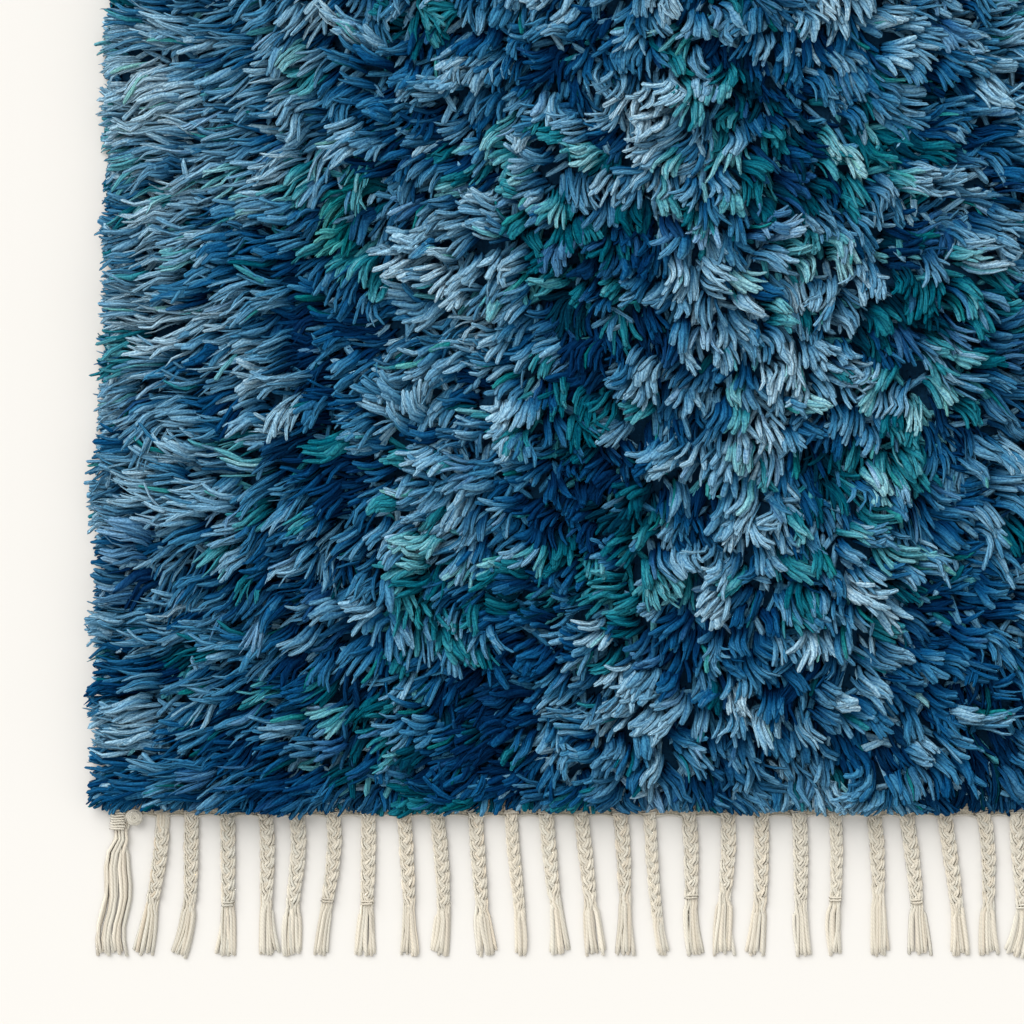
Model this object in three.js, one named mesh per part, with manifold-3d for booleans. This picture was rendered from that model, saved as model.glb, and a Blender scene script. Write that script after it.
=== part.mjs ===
// Beni Ourain rug: a hand-knotted wool shag rug with a braided warp fringe at both ends.
// It lies flat on the floor. Millimetres, +Z up, origin on the floor under the middle,
// +Y along the warp. "Front" is the -Y end and "left" is the -X side.
//
// pile_field    ground weave and knotted pile, one flat solid: the pile leans out over
//               all four edges of the ground and rests on the floor at the sides
// fringe_front  heading band with its row of braided tassels, one comb
// fringe_back   the same at the other end

import * as THREE from "three";
import { mergeVertices } from "three/addons/utils/BufferGeometryUtils.js";
import Module from "manifold-3d";

const wasm = await Module();
wasm.setup();

// Ground weave
const GROUND_WIDTH = 880;
const GROUND_LENGTH = 1270;

// Pile. The side's reach grows from its middle to its corners between the two shares of
// the half length, and the corner is pulled in where the shares of half width and half
// length add up to more than CORNER_START.
const PILE_TOP = 34;
const SWELL = 2.2;
const END_REACH = 9;
const SIDE_REACH_MIDDLE = 6;
const SIDE_REACH_CORNER = 15;
const SIDE_GROWS_FROM = 0.15;
const SIDE_GROWS_TO = 0.85;
const EDGE_WANDER = 1.5;
const CORNER_PULL = 9;
const CORNER_START = 1.9;
const GRID_X = 18;
const GRID_Y = 27;

// A wander is a slow wave and a weaker, quicker one, whose shares add up to 1.
const SLOW_SHARE = 0.6;
const QUICK_SHARE = 0.4;
const QUICK_RATE = 2.3;
const QUICK_PHASE = 1.7;

// The wander of the sides and the ends, in radians over half the length or the width. The
// turn sets the two sides, or the two ends, apart.
const SIDE_WAVE = { rate: 17, turn: 2.4 };
const END_WAVE = { rate: 13, turn: 3.1 };

// The top swells where these two wanders cross, in radians over half the width and length.
const SWELL_WAVES = [
  { across: 9, along: 5, phase: 1.1 },
  { across: -4, along: 14, phase: 0.3 },
];

// Edge profile of the pile from the floor up. side and end are shares of the reach past
// the ground's edge: at the ends the pile starts above the heading band.
const PILE_LAYERS = [
  { z: 0, side: 0.5, end: 0 },
  { z: 5, side: 0.85, end: 0 },
  { z: 5.6, side: 0.9, end: 0.9 },
  { z: 13, side: 1, end: 1 },
  { z: 23, side: 0.8, end: 0.7 },
  { z: 31, side: 0.1, end: 0 },
];

// Fringe
const TASSELS = 31;
const FIRST_TASSEL_INSET = 8.75;
const CLEARANCE = 0.3;
const BAND_DEPTH = 15.5;
const BAND_THICKNESS = 4;
const SCALLOP = 3;
const SCALLOP_STEPS = 3;
const FRINGE_REACH = 129;
const ROOT_OVERLAP = 4;

// Where a braid's middle and its end lie, as shares of the tassel's length.
const BOW_ALONG = 0.3;
const LEAN_ALONG = 0.62;

// Tassel sections from the root to the tip. along is a share of the tassel's length, width
// and height are in millimetres, and flare is the share of the tip's own spread.
const TASSEL_SECTIONS = [
  { along: 0, width: 11, height: 4.4, flare: 0 },
  { along: 0.06, width: 15, height: 9, flare: 0 },
  { along: 0.3, width: 13, height: 8.5, flare: 0 },
  { along: 0.56, width: 12, height: 8, flare: 0 },
  { along: 0.64, width: 10, height: 7.5, flare: 0.1 },
  { along: 0.82, width: 4, height: 7, flare: 0.75 },
  { along: 1, width: 0, height: 5, flare: 1 },
];

// Half of a tassel's six-sided section: a flat side on the floor and one on top.
const SECTION_SIDES = 6;
const FOOT_SHARE = 0.55;
const WAIST_SHARE = 0.42;

// Front tassels from the left, in millimetres. shift moves the root off the even pitch,
// bow, lean and tip are how far the braid's middle, its end and the loose tip lie to the
// right of the root, and spread is the width of the loose tip.
const FRONT_TASSELS = [
  { shift: 0, bow: 0, lean: -3, tip: -8, spread: 25 },
  { shift: 3, bow: -2, lean: -8, tip: -16, spread: 18 },
  { shift: -2, bow: -1, lean: -2, tip: -12, spread: 14 },
  { shift: -2, bow: 0, lean: 0, tip: -2, spread: 16 },
  { shift: -1, bow: 2, lean: 1, tip: 3, spread: 19 },
  { shift: -5, bow: 2, lean: -2, tip: -2, spread: 17 },
  { shift: -4, bow: 1, lean: -4, tip: -10, spread: 14 },
  { shift: -4, bow: 0, lean: -1, tip: -3, spread: 17 },
  { shift: -4, bow: 2, lean: 4, tip: 4, spread: 14 },
  { shift: -7, bow: 4, lean: 6, tip: 3, spread: 14 },
  { shift: -4, bow: 2, lean: 5, tip: 9, spread: 17 },
  { shift: -4, bow: 2, lean: 6, tip: 8, spread: 11 },
  { shift: -5, bow: 3, lean: 7, tip: 12, spread: 14 },
  { shift: -6, bow: 4, lean: 8, tip: 12, spread: 17 },
  { shift: -3, bow: 3, lean: 4, tip: 4, spread: 14 },
  { shift: -8, bow: 2, lean: 5, tip: 12, spread: 10 },
  { shift: -6, bow: 3, lean: 3, tip: 6, spread: 14 },
  { shift: -3, bow: 1, lean: -2, tip: -3, spread: 18 },
  { shift: -4, bow: 0, lean: -1, tip: -5, spread: 16 },
  { shift: -3, bow: 2, lean: 2, tip: 5, spread: 14 },
  { shift: -3, bow: 2, lean: 1, tip: 1, spread: 11 },
  { shift: 0, bow: 3, lean: 4, tip: 6, spread: 15 },
  { shift: -3, bow: 5, lean: 9, tip: 12, spread: 17 },
  { shift: -1, bow: 5, lean: 10, tip: 14, spread: 15 },
  { shift: 1, bow: 5, lean: 5, tip: 7, spread: 17 },
];

// A tassel that has no row of its own strays from these middle values by up to a range. The
// rate and the phase set how each value changes from one tassel to the next.
const PLAIN_TASSEL = {
  shift: { middle: 0, range: 2, rate: 1.9, phase: 0.4 },
  bow: { middle: 0, range: 2, rate: 1.3, phase: 2.1 },
  lean: { middle: 0, range: 4, rate: 1.1, phase: 1.2 },
  tip: { middle: 0, range: 7, rate: 0.9, phase: 3.3 },
  spread: { middle: 15, range: 3, rate: 2.7, phase: 0.9 },
};

// Finishes
const PILE_COLOR = 0x2f6188;
const PILE_ROUGHNESS = 0.95;
const YARN_COLOR = 0xd9d2c1;
const YARN_ROUGHNESS = 0.9;

// Corners of one solid closer than this are one corner.
const SAME_CORNER = 1e-4;

// A wandering value between -1 and 1 that changes smoothly along t.
function wander(t, phase) {
  const slow = Math.sin(t + phase);
  const quick = Math.sin(QUICK_RATE * t + QUICK_PHASE * phase);
  return SLOW_SHARE * slow + QUICK_SHARE * quick;
}

// The plain lie of a tassel that has no row of its own.
function plainTassel(index) {
  const values = Object.entries(PLAIN_TASSEL).map(([name, lie]) => (
    [name, lie.middle + lie.range * wander(index * lie.rate, lie.phase)]
  ));
  return Object.fromEntries(values);
}

function material(color, roughness) {
  return new THREE.MeshStandardMaterial({ color, roughness, metalness: 0 });
}

// How far the pile reaches past the side of the ground at share v of the half length.
function sideReach(u, v) {
  const flare = THREE.MathUtils.smoothstep(Math.abs(v), SIDE_GROWS_FROM, SIDE_GROWS_TO);
  const reach = THREE.MathUtils.lerp(SIDE_REACH_MIDDLE, SIDE_REACH_CORNER, flare);
  return reach + EDGE_WANDER * wander(v * SIDE_WAVE.rate, u * SIDE_WAVE.turn);
}

// How far the pile reaches past the end of the ground at share u of the half width.
function endReach(u, v) {
  return END_REACH + EDGE_WANDER * wander(u * END_WAVE.rate, v * END_WAVE.turn);
}

// How far the top's inner corners stand above PILE_TOP.
function swellAt(u, v) {
  return SWELL_WAVES.reduce(
    (height, wave) => height * wander(u * wave.across + v * wave.along, wave.phase),
    SWELL,
  );
}

// Ground weave and pile: a box whose layers follow the edge profile and whose top swells.
function pileFieldGeometry() {
  const layerCount = PILE_LAYERS.length - 1;
  const geometry = new THREE.BoxGeometry(2, 2, 2, GRID_X, GRID_Y, layerCount);
  const position = geometry.getAttribute("position");
  for (let i = 0; i < position.count; i += 1) {
    const u = position.getX(i);
    const v = position.getY(i);
    const level = Math.round(((position.getZ(i) + 1) / 2) * layerCount);
    const layer = PILE_LAYERS[level];
    const beyond = Math.max(0, Math.abs(u) + Math.abs(v) - CORNER_START);
    const pull = (CORNER_PULL * beyond) / (2 - CORNER_START);
    const halfWidth = GROUND_WIDTH / 2 + layer.side * sideReach(u, v);
    const halfLength = GROUND_LENGTH / 2 + layer.end * endReach(u, v);
    const onRim = Math.abs(u) === 1 || Math.abs(v) === 1;
    const onTop = level === layerCount && !onRim;
    const x = u * halfWidth - Math.sign(u) * pull * layer.side;
    const y = v * halfLength - Math.sign(v) * pull * layer.end;
    position.setXYZ(i, x, y, onTop ? PILE_TOP + swellAt(u, v) : layer.z);
  }
  return geometry;
}

// Even place of a tassel's root across the rug, before its own shift.
function rootX(index) {
  const pitch = (GROUND_WIDTH - 2 * FIRST_TASSEL_INSET) / (TASSELS - 1);
  return -GROUND_WIDTH / 2 + FIRST_TASSEL_INSET + index * pitch;
}

// Heading band at the front: straight against the ground, scalloped between the tassels.
function headingGeometry(rows) {
  const inner = -GROUND_LENGTH / 2 - CLEARANCE;
  const outer = -GROUND_LENGTH / 2 - BAND_DEPTH;
  const roots = rows.map((row, index) => rootX(index) + row.shift);
  const shape = new THREE.Shape();
  shape.moveTo(GROUND_WIDTH / 2, inner);
  shape.lineTo(-GROUND_WIDTH / 2, inner);
  shape.lineTo(-GROUND_WIDTH / 2, outer);
  shape.lineTo(roots[0], outer);
  for (let index = 1; index < roots.length; index += 1) {
    const middle = (roots[index - 1] + roots[index]) / 2;
    shape.quadraticCurveTo(middle, outer + 2 * SCALLOP, roots[index], outer);
  }
  shape.lineTo(GROUND_WIDTH / 2, outer);
  return new THREE.ExtrudeGeometry(shape, {
    depth: BAND_THICKNESS,
    bevelEnabled: false,
    curveSegments: SCALLOP_STEPS,
  });
}

// One tassel lying towards -Y: a braid that narrows at its tie and a loose, spread end.
function tasselGeometry(index, row) {
  const stepCount = TASSEL_SECTIONS.length - 1;
  const geometry = new THREE.CylinderGeometry(
    1, 1, 2, SECTION_SIDES, stepCount, false, Math.PI / SECTION_SIDES,
  );
  const position = geometry.getAttribute("position");
  const rootY = -GROUND_LENGTH / 2 - BAND_DEPTH + ROOT_OVERLAP;
  const length = FRINGE_REACH + rootY + GROUND_LENGTH / 2;
  const lie = new THREE.CatmullRomCurve3([
    new THREE.Vector3(0, 0, 0),
    new THREE.Vector3(row.bow, BOW_ALONG, 0),
    new THREE.Vector3(row.lean, LEAN_ALONG, 0),
    new THREE.Vector3(row.tip, 1, 0),
  ]);
  for (let i = 0; i < position.count; i += 1) {
    const step = Math.round(((1 - position.getY(i)) / 2) * stepCount);
    const section = TASSEL_SECTIONS[step];
    const halfWidth = (section.width + section.flare * row.spread) / 2;
    // The cylinder's corners stand at a radius of 1, and each is the waist, a foot or a
    // crown corner of the section. Only the middle of an end cap is on the axis.
    const across = Math.round(position.getX(i) * SECTION_SIDES);
    const up = Math.round(position.getZ(i) * SECTION_SIDES);
    const isAxis = across === 0 && up === 0;
    const isWaist = up === 0;
    const side = isAxis ? 0 : Math.sign(across) * (isWaist ? 1 : FOOT_SHARE);
    const share = isAxis || isWaist ? WAIST_SHARE : (up > 0 ? 1 : 0);
    const x = rootX(index) + row.shift + lie.getPoint(section.along).x + side * halfWidth;
    const y = rootY - section.along * length;
    position.setXYZ(i, x, y, share * section.height);
  }
  return geometry;
}

// A closed geometry as a solid that can be joined.
function solidOf(geometry) {
  const bare = geometry.clone();
  bare.deleteAttribute("normal");
  bare.deleteAttribute("uv");
  const merged = mergeVertices(bare, SAME_CORNER);
  return new wasm.Manifold(new wasm.Mesh({
    numProp: 3,
    vertProperties: new Float32Array(merged.getAttribute("position").array),
    triVerts: new Uint32Array(merged.getIndex().array),
  }));
}

// A solid as a geometry for a mesh.
function geometryOf(solid) {
  const mesh = solid.getMesh();
  const geometry = new THREE.BufferGeometry();
  geometry.setAttribute("position", new THREE.BufferAttribute(mesh.vertProperties, 3));
  geometry.setIndex(new THREE.BufferAttribute(mesh.triVerts, 1));
  geometry.computeVertexNormals();
  return geometry;
}

// Heading band and tassels of the front end, joined into one comb.
function combGeometry(rows) {
  let comb = solidOf(headingGeometry(rows));
  rows.forEach((row, index) => {
    comb = comb.add(solidOf(tasselGeometry(index, row)));
  });
  return geometryOf(comb);
}

function frontRows() {
  const rest = TASSELS - FRONT_TASSELS.length;
  const plain = Array.from({ length: rest }, (_, i) => plainTassel(i));
  return [...FRONT_TASSELS, ...plain];
}

function backRows() {
  return Array.from({ length: TASSELS }, (_, i) => plainTassel(i + TASSELS));
}

function pileField() {
  const mesh = new THREE.Mesh(pileFieldGeometry(), material(PILE_COLOR, PILE_ROUGHNESS));
  mesh.name = "pile_field";
  return mesh;
}

function fringe(name, rows, turn) {
  const mesh = new THREE.Mesh(combGeometry(rows), material(YARN_COLOR, YARN_ROUGHNESS));
  mesh.name = name;
  mesh.rotation.z = turn;
  return mesh;
}

const rug = new THREE.Group();
rug.add(pileField());
rug.add(fringe("fringe_front", frontRows(), 0));
rug.add(fringe("fringe_back", backRows(), Math.PI));

export default rug;
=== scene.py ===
"""Looks of a beni ourain rug: a knotted wool shag pile on a woven ground, with braided fringes.

Every piece is in metres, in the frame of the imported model: +Y along the warp, +X across the
rug, +Z up from the floor, origin under the middle. The front end is at -Y.
"""

from __future__ import annotations

import logging
import math
from dataclasses import dataclass, field
from enum import Enum
from typing import Any

import bmesh
import bpy
import numpy as np
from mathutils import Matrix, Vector


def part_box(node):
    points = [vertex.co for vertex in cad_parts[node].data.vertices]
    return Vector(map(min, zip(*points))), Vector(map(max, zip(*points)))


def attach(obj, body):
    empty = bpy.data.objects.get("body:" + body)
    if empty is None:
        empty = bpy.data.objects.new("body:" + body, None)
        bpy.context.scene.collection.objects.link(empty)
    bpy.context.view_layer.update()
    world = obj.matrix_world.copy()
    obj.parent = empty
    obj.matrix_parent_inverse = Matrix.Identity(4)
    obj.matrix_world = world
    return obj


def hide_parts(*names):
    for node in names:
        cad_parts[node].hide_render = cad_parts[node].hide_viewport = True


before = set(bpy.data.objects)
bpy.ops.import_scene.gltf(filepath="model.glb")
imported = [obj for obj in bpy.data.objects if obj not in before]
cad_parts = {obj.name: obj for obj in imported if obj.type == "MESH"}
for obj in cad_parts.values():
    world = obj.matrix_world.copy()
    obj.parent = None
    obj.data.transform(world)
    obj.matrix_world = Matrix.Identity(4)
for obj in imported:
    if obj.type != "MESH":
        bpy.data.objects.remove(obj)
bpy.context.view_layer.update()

LOG = logging.getLogger("rug")
BODY = "root"
MM = 0.001
FLOOR_GAP = 0.1 * MM
Array = np.ndarray


# --------------------------------------------------------------------------- shader graph


class Value:
    """A shader socket that takes part in Python arithmetic."""

    def __init__(self, graph: "Graph", socket: bpy.types.NodeSocket) -> None:
        """Wraps an output socket of a graph."""
        self.graph = graph
        self.socket = socket

    def math(self, operation: str, *others: "Value | float") -> "Value":
        """Adds a Math node of this value and the others, and returns its result."""
        inputs = {0: self, **{i + 1: other for i, other in enumerate(others)}}
        node = self.graph.node("ShaderNodeMath", {"operation": operation}, inputs)
        return Value(self.graph, node.outputs[0])

    def _swapped(self, operation: str, other: float) -> "Value":
        """A Math node with the other value first."""
        inputs = {0: other, 1: self}
        node = self.graph.node("ShaderNodeMath", {"operation": operation}, inputs)
        return Value(self.graph, node.outputs[0])

    def __add__(self, other: "Value | float") -> "Value":
        """Sum."""
        return self.math("ADD", other)

    def __sub__(self, other: "Value | float") -> "Value":
        """Difference."""
        return self.math("SUBTRACT", other)

    def __mul__(self, other: "Value | float") -> "Value":
        """Product."""
        return self.math("MULTIPLY", other)

    def __truediv__(self, other: "Value | float") -> "Value":
        """Quotient."""
        return self.math("DIVIDE", other)

    def __radd__(self, other: float) -> "Value":
        """Sum with a number first."""
        return self._swapped("ADD", other)

    def __rsub__(self, other: float) -> "Value":
        """Number minus this value."""
        return self._swapped("SUBTRACT", other)

    def __rmul__(self, other: float) -> "Value":
        """Product with a number first."""
        return self._swapped("MULTIPLY", other)

    def sine(self) -> "Value":
        """Sine of this value in radians."""
        return self.math("SINE")

    def waves(self, pitch: float) -> "Value":
        """A wave along this value, between 0 and 1, that repeats once a pitch."""
        return (self * (2 * math.pi / pitch)).sine() * 0.5 + 0.5

    def clamped(self) -> "Value":
        """This value held between 0 and 1."""
        node = self.graph.node("ShaderNodeClamp", {}, {"Value": self})
        return Value(self.graph, node.outputs[0])

    def step(self, low: float, high: float) -> "Value":
        """Smooth step from 0 at low to 1 at high."""
        node = self.graph.node(
            "ShaderNodeMapRange",
            {"interpolation_type": "SMOOTHSTEP"},
            {"Value": self, "From Min": low, "From Max": high},
        )
        return Value(self.graph, node.outputs[0])


class Graph:
    """The node tree of one material, built node by node."""

    def __init__(self, name: str) -> None:
        """Starts an empty material."""
        self.material = bpy.data.materials.new(name)
        self.material.use_nodes = True
        self.tree = self.material.node_tree
        self.tree.nodes.clear()

    def node(self, kind: str, settings: dict[str, Any], inputs: dict[Any, Any]) -> bpy.types.Node:
        """Adds a node.

        Args:
            kind: the node's type name.
            settings: its properties, set first.
            inputs: the value or link of each socket, by name or number.

        Returns:
            The new node.
        """
        node = self.tree.nodes.new(kind)
        for key, value in settings.items():
            setattr(node, key, value)
        for key, value in inputs.items():
            if isinstance(value, Value):
                self.tree.links.new(value.socket, node.inputs[key])
            elif isinstance(value, bpy.types.NodeSocket):
                self.tree.links.new(value, node.inputs[key])
            else:
                node.inputs[key].default_value = value
        return node

    def value(self, kind: str, settings: dict[str, Any], inputs: dict[Any, Any]) -> Value:
        """Adds a node and returns its first output as a value."""
        return Value(self, self.node(kind, settings, inputs).outputs[0])

    def place(self) -> bpy.types.NodeSocket:
        """The place in the piece's own metres."""
        return self.node("ShaderNodeTexCoord", {}, {}).outputs["Object"]

    def axes(self, vector: bpy.types.NodeSocket) -> list[Value]:
        """The three parts of a vector."""
        split = self.node("ShaderNodeSeparateXYZ", {}, {0: vector})
        return [Value(self, output) for output in split.outputs]

    def noise(self, at: bpy.types.NodeSocket, scale: float, detail: float) -> Value:
        """Noise at a place; a larger scale makes finer spots."""
        return self.value("ShaderNodeTexNoise", {}, {"Vector": at, "Scale": scale, "Detail": detail})

    def mix(self, factor: Value | float, a: Any, b: Any, blend: str = "MIX") -> bpy.types.NodeSocket:
        """Mixes two colours.

        Args:
            factor: how much of b.
            a: the first colour.
            b: the second colour.
            blend: the blend type.

        Returns:
            The mixed colour socket.
        """
        settings = {"data_type": "RGBA", "blend_type": blend}
        node = self.node("ShaderNodeMix", settings, {0: factor, 6: a, 7: b})
        return node.outputs[2]

    def scaled(self, colour: Any, amount: Value) -> bpy.types.NodeSocket:
        """A colour multiplied by a value."""
        node = self.node("ShaderNodeVectorMath", {"operation": "SCALE"}, {0: colour, "Scale": amount})
        return node.outputs[0]

    def finish(self, shader: dict[str, Any], bump: Value | None, distance: float) -> bpy.types.Material:
        """Closes the tree with one Principled shader.

        Args:
            shader: the shader's socket values and links.
            bump: the height that shapes the normal, or None.
            distance: the height's depth in metres.

        Returns:
            The finished material.
        """
        inputs = dict(shader)
        if bump is not None:
            relief = {"Strength": 1.0, "Distance": distance, "Height": bump}
            inputs["Normal"] = self.node("ShaderNodeBump", {}, relief).outputs[0]
        principled = self.node("ShaderNodeBsdfPrincipled", {}, inputs)
        output = self.node("ShaderNodeOutputMaterial", {}, {})
        self.tree.links.new(principled.outputs[0], output.inputs["Surface"])
        return self.material


def linear(red: float, green: float, blue: float) -> tuple[float, float, float]:
    """A display colour of 0 to 255 as linear light."""
    return tuple(((c / 255 + 0.055) / 1.055) ** 2.4 for c in (red, green, blue))


@dataclass(frozen=True)
class YarnFinish:
    """Twisted yarn: the tint comes from the mesh and the ridges of its plies from the yarn map. Painted
    shade darkens the ply grooves and the root, and turns bluer where it is darkest.
    """

    name: str
    plies: int
    twist_pitch: float
    ply_depth: float
    groove_shade: float
    streak: float
    painted_root_shade: float
    roughness: float
    shine: float
    shade_cast: tuple[float, float, float, float]
    fibres_around: float = 11
    fibre_slant: float = 200
    fibre_run: float = 480
    groove_shade_edge: float = 0.7
    painted_root_range: tuple[float, float] = (0.1, 0.75)
    shade_cast_range: tuple[float, float] = (0.25, 1.0)

    def fibre(self, g: Graph, around: Value, along: Value) -> Value:
        """Noise drawn out into fibres that run along the yarn, a little aslant."""
        across = around * self.fibres_around + along * self.fibre_slant
        at = g.node("ShaderNodeCombineXYZ", {}, {0: across, 1: along * self.fibre_run, 2: 0.0}).outputs[0]
        inputs = {"Vector": at, "Scale": 1.0, "Detail": 2.0, "Roughness": 0.7}
        return g.value("ShaderNodeTexNoise", {"noise_dimensions": "2D"}, inputs)

    def material(self) -> bpy.types.Material:
        """The yarn's material."""
        g = Graph(self.name)
        around, along, _ = g.axes(g.node("ShaderNodeUVMap", {"uv_map": "yarn"}, {}).outputs[0])
        tint = g.node("ShaderNodeAttribute", {"attribute_name": "tint"}, {})
        rise = Value(g, tint.outputs["Alpha"])
        ply = ((around * self.plies + along / self.twist_pitch) * math.pi).sine().math("ABSOLUTE")
        fibre = self.fibre(g, around, along)
        # Painted shade: darker lines in the grooves between the plies.
        groove_shaded = 1 - self.groove_shade * (1 - ply.step(0.0, self.groove_shade_edge))
        shade = groove_shaded * (fibre * self.streak + (1 - self.streak * 0.5))
        # Painted shade: the colour darkens towards the strand's root.
        shade = shade * (rise.step(*self.painted_root_range) * (1 - self.painted_root_shade) + self.painted_root_shade)
        # Painted shade: where the painted shade is darkest, the colour turns a bluer navy.
        shade_tint = g.mix(shade.step(*self.shade_cast_range), self.shade_cast, (1, 1, 1, 1))
        shader = {
            "Base Color": g.mix(1.0, shade_tint, g.scaled(tint.outputs["Color"], shade), "MULTIPLY"),
            "Roughness": self.roughness,
            "Diffuse Roughness": 1.0,
            "Specular IOR Level": self.shine,
        }
        return g.finish(shader, ply * 0.8 + fibre * 0.4, self.ply_depth)


@dataclass(frozen=True)
class GroundFinish:
    """Undyed plain weave; dyed knots cover its top and show in rows on its underside, and their dark colour
    on the top is partly painted shade at the foot of the pile.
    """

    name: str
    warp_pitch: float
    knot_pitch: float
    top: float
    yarn: tuple[float, float, float]
    dye: tuple[float, float, float]
    fuzz_scale: float = 900.0

    def material(self) -> bpy.types.Material:
        """The ground's material."""
        g = Graph(self.name)
        at = g.place()
        x, y, z = g.axes(at)
        warp = x.waves(self.warp_pitch)
        weave = warp * 0.5 + y.waves(self.warp_pitch) * 0.5
        rows = (y * (2 * math.pi / self.knot_pitch)).sine().step(0.1, 0.5) * warp.step(0.25, 0.6)
        fuzz = g.noise(at, self.fuzz_scale, 2.0)
        plain = g.scaled(self.yarn, weave * 0.3 + fuzz * 0.4 + 0.5)
        # Partly painted shade: the dark knot colour on the top also stands in for the shade at the foot of
        # the pile.
        dyed = g.scaled(self.dye, fuzz * 0.8 + 0.6)
        on_top = z.step(0.5 * self.top, 0.9 * self.top)
        colour = g.mix((rows + on_top).clamped(), plain, dyed)
        shader = {"Base Color": colour, "Roughness": 0.92, "Specular IOR Level": 0.2}
        return g.finish(shader, weave + fuzz * 0.4 + rows * 0.5, 0.6 * MM)


@dataclass(frozen=True)
class HeadingFinish:
    """Undyed plain weave of the flat heading."""

    name: str
    warp_pitch: float
    yarn: tuple[float, float, float]
    fuzz_scale: float = 1200.0

    def material(self) -> bpy.types.Material:
        """The heading's material."""
        g = Graph(self.name)
        at = g.place()
        x, y, _ = g.axes(at)
        warp = x.waves(self.warp_pitch)
        weft = y.waves(self.warp_pitch)
        fuzz = g.noise(at, self.fuzz_scale, 2.0)
        colour = g.scaled(self.yarn, warp * weft * 0.3 + fuzz * 0.4 + 0.6)
        shader = {"Base Color": colour, "Roughness": 0.9, "Specular IOR Level": 0.2}
        return g.finish(shader, warp + weft + fuzz * 0.5, 0.4 * MM)


@dataclass(frozen=True)
class FloorFinish:
    """Smooth matt studio floor with the faintest mottling."""

    name: str
    colour: tuple[float, float, float]
    mottling: float = 0.01

    def material(self) -> bpy.types.Material:
        """The floor's material."""
        g = Graph(self.name)
        mottle = g.noise(g.place(), 2.0, 1.0)
        colour = g.scaled(self.colour, mottle * self.mottling + (1 - self.mottling / 2))
        return g.finish({"Base Color": colour, "Roughness": 0.9, "Specular IOR Level": 0.1}, None, 0)


# ------------------------------------------------------------------------- shared shapes


class SmoothNoise:
    """Value noise on a square lattice, between -1 and 1."""

    def __init__(self, seed: int, cell: float) -> None:
        """Fills the lattice from a seed; cell is its spacing in metres."""
        self.cell = cell
        self.size = 128
        self.grid = np.random.default_rng(seed).uniform(-1, 1, (self.size, self.size))

    def __call__(self, x: Array, y: Array) -> Array:
        """The noise at each point."""
        u = x / self.cell + self.size / 2
        v = y / self.cell + self.size / 2
        i = np.floor(u).astype(int)
        j = np.floor(v).astype(int)
        a = u - i
        b = v - j
        a = a * a * (3 - 2 * a)
        b = b * b * (3 - 2 * b)
        n = self.size
        g = self.grid
        low = g[i % n, j % n] * (1 - a) + g[(i + 1) % n, j % n] * a
        high = g[i % n, (j + 1) % n] * (1 - a) + g[(i + 1) % n, (j + 1) % n] * a
        return low * (1 - b) + high * b


@dataclass(frozen=True)
class Mottle:
    """One layer of soft unevenness: how strong, from which seed, and the spacing of its spots."""

    strength: float
    seed: int
    cell: float

    def at(self, x: Array, y: Array) -> Array:
        """The layer's amount at each point."""
        return self.strength * SmoothNoise(self.seed, self.cell)(x, y)


def smooth(t: Array, low: float, high: float) -> Array:
    """Smooth step from 0 at low to 1 at high."""
    s = np.clip((t - low) / (high - low), 0, 1)
    return s * s * (3 - 2 * s)


def unit(v: Array) -> Array:
    """Vectors of length 1 along the last axis."""
    return v / np.maximum(np.linalg.norm(v, axis=-1, keepdims=True), 1e-12)


def arrow(heading: Array) -> Array:
    """Level unit vectors that point along headings in radians, (headings, 2)."""
    return np.stack([np.cos(heading), np.sin(heading)], 1)


def turn_to(target: Array, heading: Array) -> Array:
    """The shortest turn in radians from each heading to its target."""
    return np.angle(np.exp(1j * (target - heading)))


def lay(mesh: bpy.types.Mesh, material: bpy.types.Material) -> bpy.types.Object:
    """Gives a mesh its material and lays it in the scene as an object of the same name."""
    mesh.materials.append(material)
    piece = bpy.data.objects.new(mesh.name, mesh)
    bpy.context.scene.collection.objects.link(piece)
    return piece


def lay_cloth(bm: bmesh.types.BMesh, name: str, material: bpy.types.Material) -> bpy.types.Object:
    """Turns a finished bmesh into an object in the scene."""
    mesh = bpy.data.meshes.new(name)
    bm.to_mesh(mesh)
    bm.free()
    return lay(mesh, material)


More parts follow.
